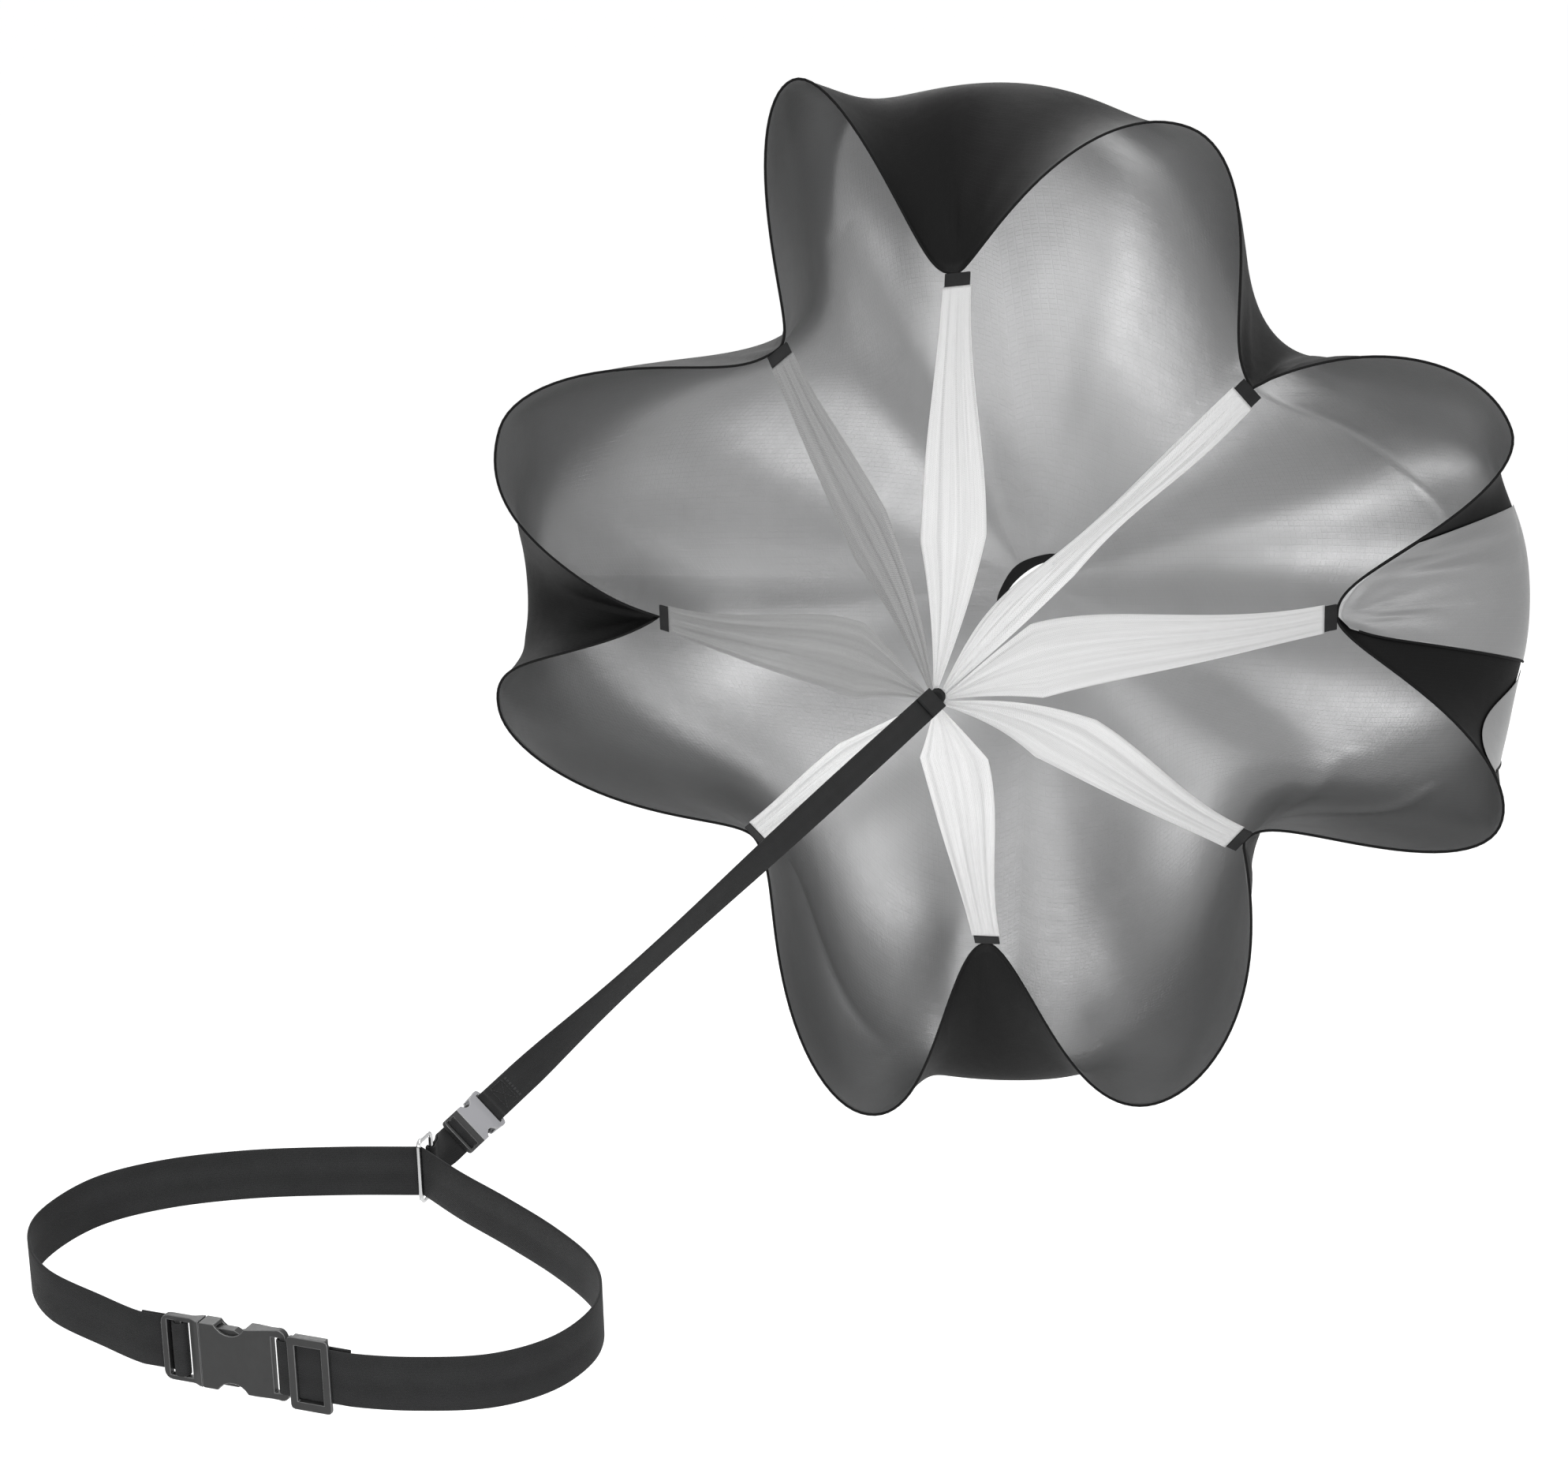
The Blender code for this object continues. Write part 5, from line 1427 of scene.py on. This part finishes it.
@dataclass
class Line:
    """The line from the belt's ring to the hub: ring, pigtail, buckle and tether."""

    belt: Belt
    canopy: CanopyShape
    width: float = 0.025
    rock: float = 50.0
    roll: float = 45.0
    rows: int = 150
    fold: float = 0.050
    end_fold: float = 0.040
    fold_points: tuple[int, int] = (16, 12)
    hub_gap: float = 0.0006
    seam_margin: float = 0.003
    buckle_box: tuple[float, float] = (0.012, 0.032)
    buckle_tack_at: float = 0.036
    hub_box: tuple[float, float] = (0.034, 0.010)
    hub_tack_at: float = 0.006
    tack_passes: int = 18
    pigtail_length: float = 0.046
    pigtail_points: int = 26
    pigtail_seam_lift: float = -0.0010
    pigtail_tack_share: float = 0.40
    ring_height: float = 0.0502
    ring_depth: float = 0.0200
    ring_corner: float = 0.0040
    corner_steps: int = 10
    ring_step: float = 0.0015
    ring_sides: int = 20
    shape: BuckleShape = field(init=False)
    along: Array = field(init=False)
    upright: Matrix = field(init=False)
    matrix: Matrix = field(init=False)
    rear_bar: Vector = field(init=False)
    eye: tuple[float, float] = field(init=False)

    def __post_init__(self) -> None:
        """Find the line's direction and place the pigtail's eye and the buckle on it."""
        bar = Vector((*self.belt.ring_bar, 0.0))
        along = (Vector((self.canopy.hub[0], self.canopy.hub[1], 0.0)) - bar).normalized()
        up = Vector((0.0, 0.0, 1.0))
        self.upright = Matrix((along, up.cross(along), up)).transposed().to_4x4()
        basis = self.upright @ Matrix.Rotation(math.radians(-self.roll), 4, "X")
        self.shape = BuckleShape(self.width)
        self.eye = (self.shape.middle_bar - self.pigtail_length,
                    (self.shape.main_level + self.shape.tail_level) / 2)
        self.rear_bar = bar + along * self.ring_depth
        self.matrix = Matrix.Translation(self.rear_bar - basis @ Vector((*self.eye, 0.0))) @ basis
        self.along = np.array(along)

    def make_ring(self) -> None:
        """The welded ring: a rounded rectangle of round wire."""
        half, corner = (self.ring_height - self.belt.ring_wire) / 2, self.ring_corner
        depth = self.ring_depth
        corners = (((corner, half - corner), 180, 90), ((depth - corner, half - corner), 90, 0),
                   ((depth - corner, corner - half), 0, -90), ((corner, corner - half), -90, -180))
        flat = np.vstack([arc(centre, corner, start, stop, self.corner_steps)
                          for centre, start, stop in corners])
        flat = even_way(np.vstack([flat, flat[:1]]), self.ring_step)[:-1]
        way = np.stack([flat[:, 0], np.zeros(len(flat)), flat[:, 1]], axis=1)
        place = Matrix.Translation(Vector((*self.belt.ring_bar, 0.0))) @ self.upright
        mesh = tube("ring_wire", carried(place, way), self.belt.ring_wire / 2, self.ring_sides, True)
        place_piece("ring_wire", mesh, [Look.WIRE], "ring", "ring_wire", "belt_ring")

    def make_pigtail(self) -> None:
        """A sewn loop of webbing from the ring's rear bar, through the clip, and back.

        It turns from upright at the ring to the buckle's roll by an eased ramp along its length.
        """
        shape, (eye_x, eye_y) = self.shape, self.eye
        radius = (self.belt.ring_wire + shape.thickness) / 2 + shape.clearance
        far, near = shape.middle_bar - 3 * shape.wrap, eye_x + 2 * self.belt.ring_wire
        run = np.linspace(far, near, self.pigtail_points)
        level = np.ones(len(run))
        flat = np.vstack([
            np.stack([run[::-1], level * shape.tail_level], 1), shape.threaded_end(),
            np.stack([run, level * shape.main_level], 1), arc((eye_x, eye_y), radius, -70, -290, 24)])
        roll = math.radians(self.roll) * (1 - smoothstep((flat[:, 0] - near) / (far - near)))
        away = flat[:, 1] - eye_y
        way = np.stack([flat[:, 0], eye_y + away * np.cos(roll), away * np.sin(roll)], axis=1)
        across = np.stack([np.zeros(len(flat)), -np.sin(roll), np.cos(roll)], axis=1)
        turned = np.array(self.matrix.to_3x3())
        way, across = carried(self.matrix, way), across @ turned.T
        mesh = Strap(self.width).mesh("pigtail_strap", way, across, closed=True)
        place_piece("pigtail_strap", mesh, [Look.TETHER], "pigtail", "webbing", "pigtail_webbing")
        part = Run(way[:self.pigtail_points], across[:self.pigtail_points])
        tack = bar_tack(part.length[-1] * self.pigtail_tack_share, self.width / 2 - self.seam_margin,
                        self.tack_passes)
        Seam().sew("pigtail_seam", part, tack, self.pigtail_seam_lift, "pigtail")

    def make_tether(self) -> None:
        """The tether: looped and sewn at the buckle, taut and rocked on its way, folded at the hub.

        Its width turns about the line by the rock angle times the squared sine of the root of the share
        along, so that it is seen most on edge a quarter of the way up.
        """
        shape, canopy = self.shape, self.canopy
        step = shape.thickness + 2 * shape.clearance
        loop = shape.looped_end(self.fold, -step / 2, step / 2)[::-1]
        world = carried(self.matrix, np.vstack([loop, [loop[-1] + (self.fold, 0.0)]]))
        across = np.array(self.matrix.to_3x3() @ Vector((0.0, 0.0, 1.0)))
        end_gap = canopy.core_length / 2 + shape.clearance + (step + shape.thickness) / 2
        stop = np.array(canopy.hub) - canopy.axis * end_gap - self.along * self.hub_gap
        share = np.linspace(0.0, 1.0, self.rows)[1:, None]
        line = world[-1] + (stop - world[-1]) * share
        rock = math.radians(self.rock) * np.sin(np.pi * np.sqrt(share)) ** 2
        along = unit(stop - world[-1])
        normal = np.cross(along, across)
        turn = np.radians(np.linspace(-60.0, 90.0, self.fold_points[0]))[:, None]
        fold = stop + step / 2 * (np.cos(turn) * along + (np.sin(turn) + 1.0) * normal)
        back = fold[-1] - along * np.linspace(0.0, self.end_fold, self.fold_points[1])[1:, None]
        straight = even_way(world, STRAP_STEP)
        centres = np.vstack([straight, line, fold, back])
        ends = len(fold) + len(back)
        acrosses = np.vstack([np.broadcast_to(across, straight.shape),
                              np.cos(rock) * across + np.sin(rock) * normal, np.tile(across, (ends, 1))])
        mesh = Strap(self.width).mesh("tether_strap", centres, acrosses)
        place_piece("tether_strap", mesh, [Look.TETHER], "tether", "webbing", "tether_webbing")
        run, half, lift = Run(centres, acrosses), self.width / 2 - self.seam_margin, shape.thickness / 2
        near, top = self.fold * 1.05 + shape.wrap * 3, run.length[-1]
        lines = [box_and_cross(*(near + end for end in self.buckle_box), half),
                 bar_tack(near + self.buckle_tack_at, half, self.tack_passes)]
        Seam().sew("tether_seam_buckle", run, np.vstack(lines), lift, "tether")
        lines = [box_and_cross(*(top - end for end in self.hub_box), half),
                 bar_tack(top - self.hub_tack_at, half, self.tack_passes)]
        Seam().sew("tether_seam_hub", run, np.vstack(lines), lift, "tether")

    def make(self, frame: dict) -> None:
        """Every piece of the line."""
        self.make_ring()
        self.make_pigtail()
        self.make_tether()
        moulded(frame, "tether_buckle_body", Plastic.GREY, "pigtail")
        moulded(frame, "tether_buckle_clip", Plastic.CHARCOAL, "pigtail")
        for side in ("upper", "lower"):
            moulded(frame, f"tether_buckle_prong_{side}", Plastic.CHARCOAL, f"tether_prong_{side}", 0.00025)


@dataclass
class Rigging:
    """The folded tabs at the canopy's ties, and the bound core that the net strips are gathered on."""

    canopy: CanopyShape
    tab_width: float = 0.0295
    tab_thickness: float = 0.0011
    tab_step: float = 0.002
    fold_gap: float = 0.00015
    seam_margin: float = 0.003
    core_pleats: int = 32
    pleat_height: float = 0.00012
    windings: int = 9
    thread_height: float = 0.00018
    core_rounding: float = 0.18
    core_rows: int = 49
    core_columns: int = 192

    def make_tab(self, number: int, turn: float) -> None:
        """A tab folded over at its inner end, with a sewn box.

        Its middle line runs in along one face, round a half circle and out along the other.
        """
        canopy = self.canopy
        rim = canopy.place(turn, canopy.mouth_radius, 0.0)
        hub = canopy.place(turn, canopy.core_radius, -canopy.hub_to_mouth)
        out = unit(rim - hub)
        across = canopy.around(turn)
        normal = np.cross(across, out)
        bend = self.tab_thickness / 2 + self.fold_gap
        length, near = canopy.tab_length, canopy.clearance + bend + self.tab_thickness / 2
        flat = np.vstack([[(length + canopy.clearance, -bend)], arc((near, 0.0), bend, 270, 90, 10),
                          [(length + canopy.clearance, bend)]])
        flat = even_way(flat, self.tab_step)
        way = rim + flat[:, :1] * out + flat[:, 1:] * normal
        run = Run(way, across)
        name = f"tab_{number}"
        mesh = Strap(self.tab_width, self.tab_thickness).mesh(name, run.way, run.across)
        place_piece(name, mesh, [Look.BELT], "tether", "webbing", f"rim_tab_{number}")
        margin = self.seam_margin
        lines = box_and_cross(margin, length - margin, self.tab_width / 2 - margin)
        Seam().sew(f"tab_seam_{number}", run, lines, self.tab_thickness / 2, "tether")

    def make_core(self) -> None:
        """The gathered ends of the strips, bound with thread.

        The radius is the core's, less a rounding at both ends, with the pleats and the turns of thread
        as small sines of the angle and of the height.
        """
        canopy = self.canopy
        height = np.linspace(-0.5, 0.5, self.core_rows)[:, None]
        angle = np.linspace(0.0, 2 * np.pi, self.core_columns, endpoint=False)[None]
        rounding = 1 - self.core_rounding * np.abs(2 * height) ** 6
        bound = np.cos(2 * np.pi * self.windings * height + angle) * self.thread_height
        pleats = np.cos(self.core_pleats * angle) * self.pleat_height
        radius = canopy.core_radius - self.thread_height - self.pleat_height
        radius = radius * rounding + (bound + pleats) * (1 - np.abs(2 * height) ** 8)
        along = height * canopy.core_length
        points = (np.array(canopy.hub) + along[..., None] * canopy.axis
                  + (radius * np.cos(angle))[..., None] * canopy.side
                  + (radius * np.sin(angle))[..., None] * canopy.up)
        quads = grid_faces(*radius.shape, True)
        mesh = make_mesh("gather", points, quads, grid_map(along, angle * canopy.core_radius)[quads])
        close_ends(mesh)
        place_piece("gather", mesh, [Look.TETHER], "tether", "webbing", "gather_core")

    def make(self) -> None:
        """The eight tabs and the core."""
        for number, turn in enumerate(self.canopy.tie_turns()[:-1], start=1):
            self.make_tab(number, turn)
        self.make_core()


# Stage


@dataclass
class Studio:
    """The camera at the picture's place, soft lamps, a white room and a pale floor."""

    eye: tuple[float, float, float] = (0.89, -2.207, 1.108)
    azimuth: float = 14.1
    pitch: float = 17.34
    roll: float = -1.76
    focal_pixels: float = 4800.0
    image_width: int = 1988
    sensor_width: float = 36.0
    floor_height: float = -1.75
    floor_half: float = 30.0
    floor_grey: float = 0.80
    floor_seen_grey: float = 0.62
    floor_glow: float = 0.74
    room_strength: float = 0.42
    lamps: tuple[tuple[str, tuple[float, float, float], float, float], ...] = (
        ("key", (-0.5, -3.4, 1.2), 1.0, 105.0), ("front", (1.95, -3.2, 0.7), 0.9, 70.0),
        ("upper", (1.9, -0.9, 2.9), 0.9, 68.0), ("right", (3.6, 1.1, -0.4), 1.0, 14.0),
        ("low", (-0.70, 0.75, -1.20), 0.6, 14.0), ("top", (0.2, 1.0, 4.6), 3.5, 60.0),
        ("back", (-1.8, 6.2, 2.6), 2.6, 120.0))
    target: tuple[float, float, float] = (0.1, 1.2, -0.1)

    def make_camera(self) -> None:
        """The camera, from its heading, its pitch and its roll in degrees."""
        turn, tilt, roll = (math.radians(v) for v in (self.azimuth, self.pitch, self.roll))
        ahead = Vector((-math.sin(turn) * math.cos(tilt), math.cos(turn) * math.cos(tilt), -math.sin(tilt)))
        right = Vector((math.cos(turn), math.sin(turn), 0.0))
        above = right.cross(ahead)
        right, above = (math.cos(roll) * right + math.sin(roll) * above,
                        math.cos(roll) * above - math.sin(roll) * right)
        data = bpy.data.cameras.new("camera")
        data.sensor_fit, data.sensor_width = "HORIZONTAL", self.sensor_width
        data.lens = self.sensor_width * self.focal_pixels / self.image_width
        camera = new_object("camera", data)
        basis = Matrix((right, above, -ahead)).transposed().to_4x4()
        camera.matrix_world = Matrix.Translation(Vector(self.eye)) @ basis
        bpy.context.scene.camera = camera

    def make_lamp(self, name: str, place: tuple[float, float, float], size: float, power: float) -> None:
        """A square soft lamp that faces the canopy."""
        data = bpy.data.lights.new(name, "AREA")
        data.size, data.energy = size, power
        lamp = new_object(name, data)
        lamp.location, lamp.visible_camera = place, False
        aim = Vector(self.target) - Vector(place)
        lamp.rotation_euler = aim.to_track_quat("-Z", "Y").to_euler()

    def make_room(self) -> None:
        """A world that lights softly and shows white to the camera."""
        tree = ShaderTree("room", world=True)
        lit = tree.node("Background", {"Color": grey(1.0), "Strength": self.room_strength})
        white = tree.node("Background", {"Color": grey(1.0), "Strength": 1.0})
        bpy.context.scene.world = tree.finish(tree.node("MixShader", {0: tree.seen(), 1: lit, 2: white}))

    def make_floor(self) -> None:
        """A wide pale floor under the canopy, which keeps a soft shadow."""
        half, level = self.floor_half, self.floor_height
        corners = [(-half, -half, level), (half, -half, level), (half, half, level), (-half, half, level)]
        mesh = make_mesh("floor", np.array(corners), np.array([[0, 1, 2, 3]]))
        tree = ShaderTree("pale_floor")
        lit = tree.node("BsdfDiffuse", {"Color": grey(self.floor_grey)})
        glow = tree.node("Emission", {"Color": grey(1.0), "Strength": self.floor_glow})
        pale = tree.node("BsdfDiffuse", {"Color": grey(self.floor_seen_grey)})
        bright = tree.node("AddShader", {0: glow, 1: pale})
        mesh.materials.append(tree.finish(tree.node("MixShader", {0: tree.seen(), 1: lit, 2: bright})))
        floor = new_object("floor", mesh)

    def make(self) -> None:
        """Set the whole stage."""
        bpy.context.scene.view_settings.view_transform = "Standard"
        self.make_camera()
        for name, place, size, power in self.lamps:
            self.make_lamp(name, place, size, power)
        self.make_room()
        self.make_floor()


def main() -> None:
    """Load the frame, build every piece on it and set the stage."""
    logging.basicConfig(level=logging.INFO, format="%(message)s")
    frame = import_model()
    canopy, belt = Canopy(), Belt()
    canopy.make()
    Rigging(canopy.shape).make()
    belt.make(frame)
    Line(belt, canopy.shape).make(frame)
    Studio().make()


if __name__ == "__main__":
    main()
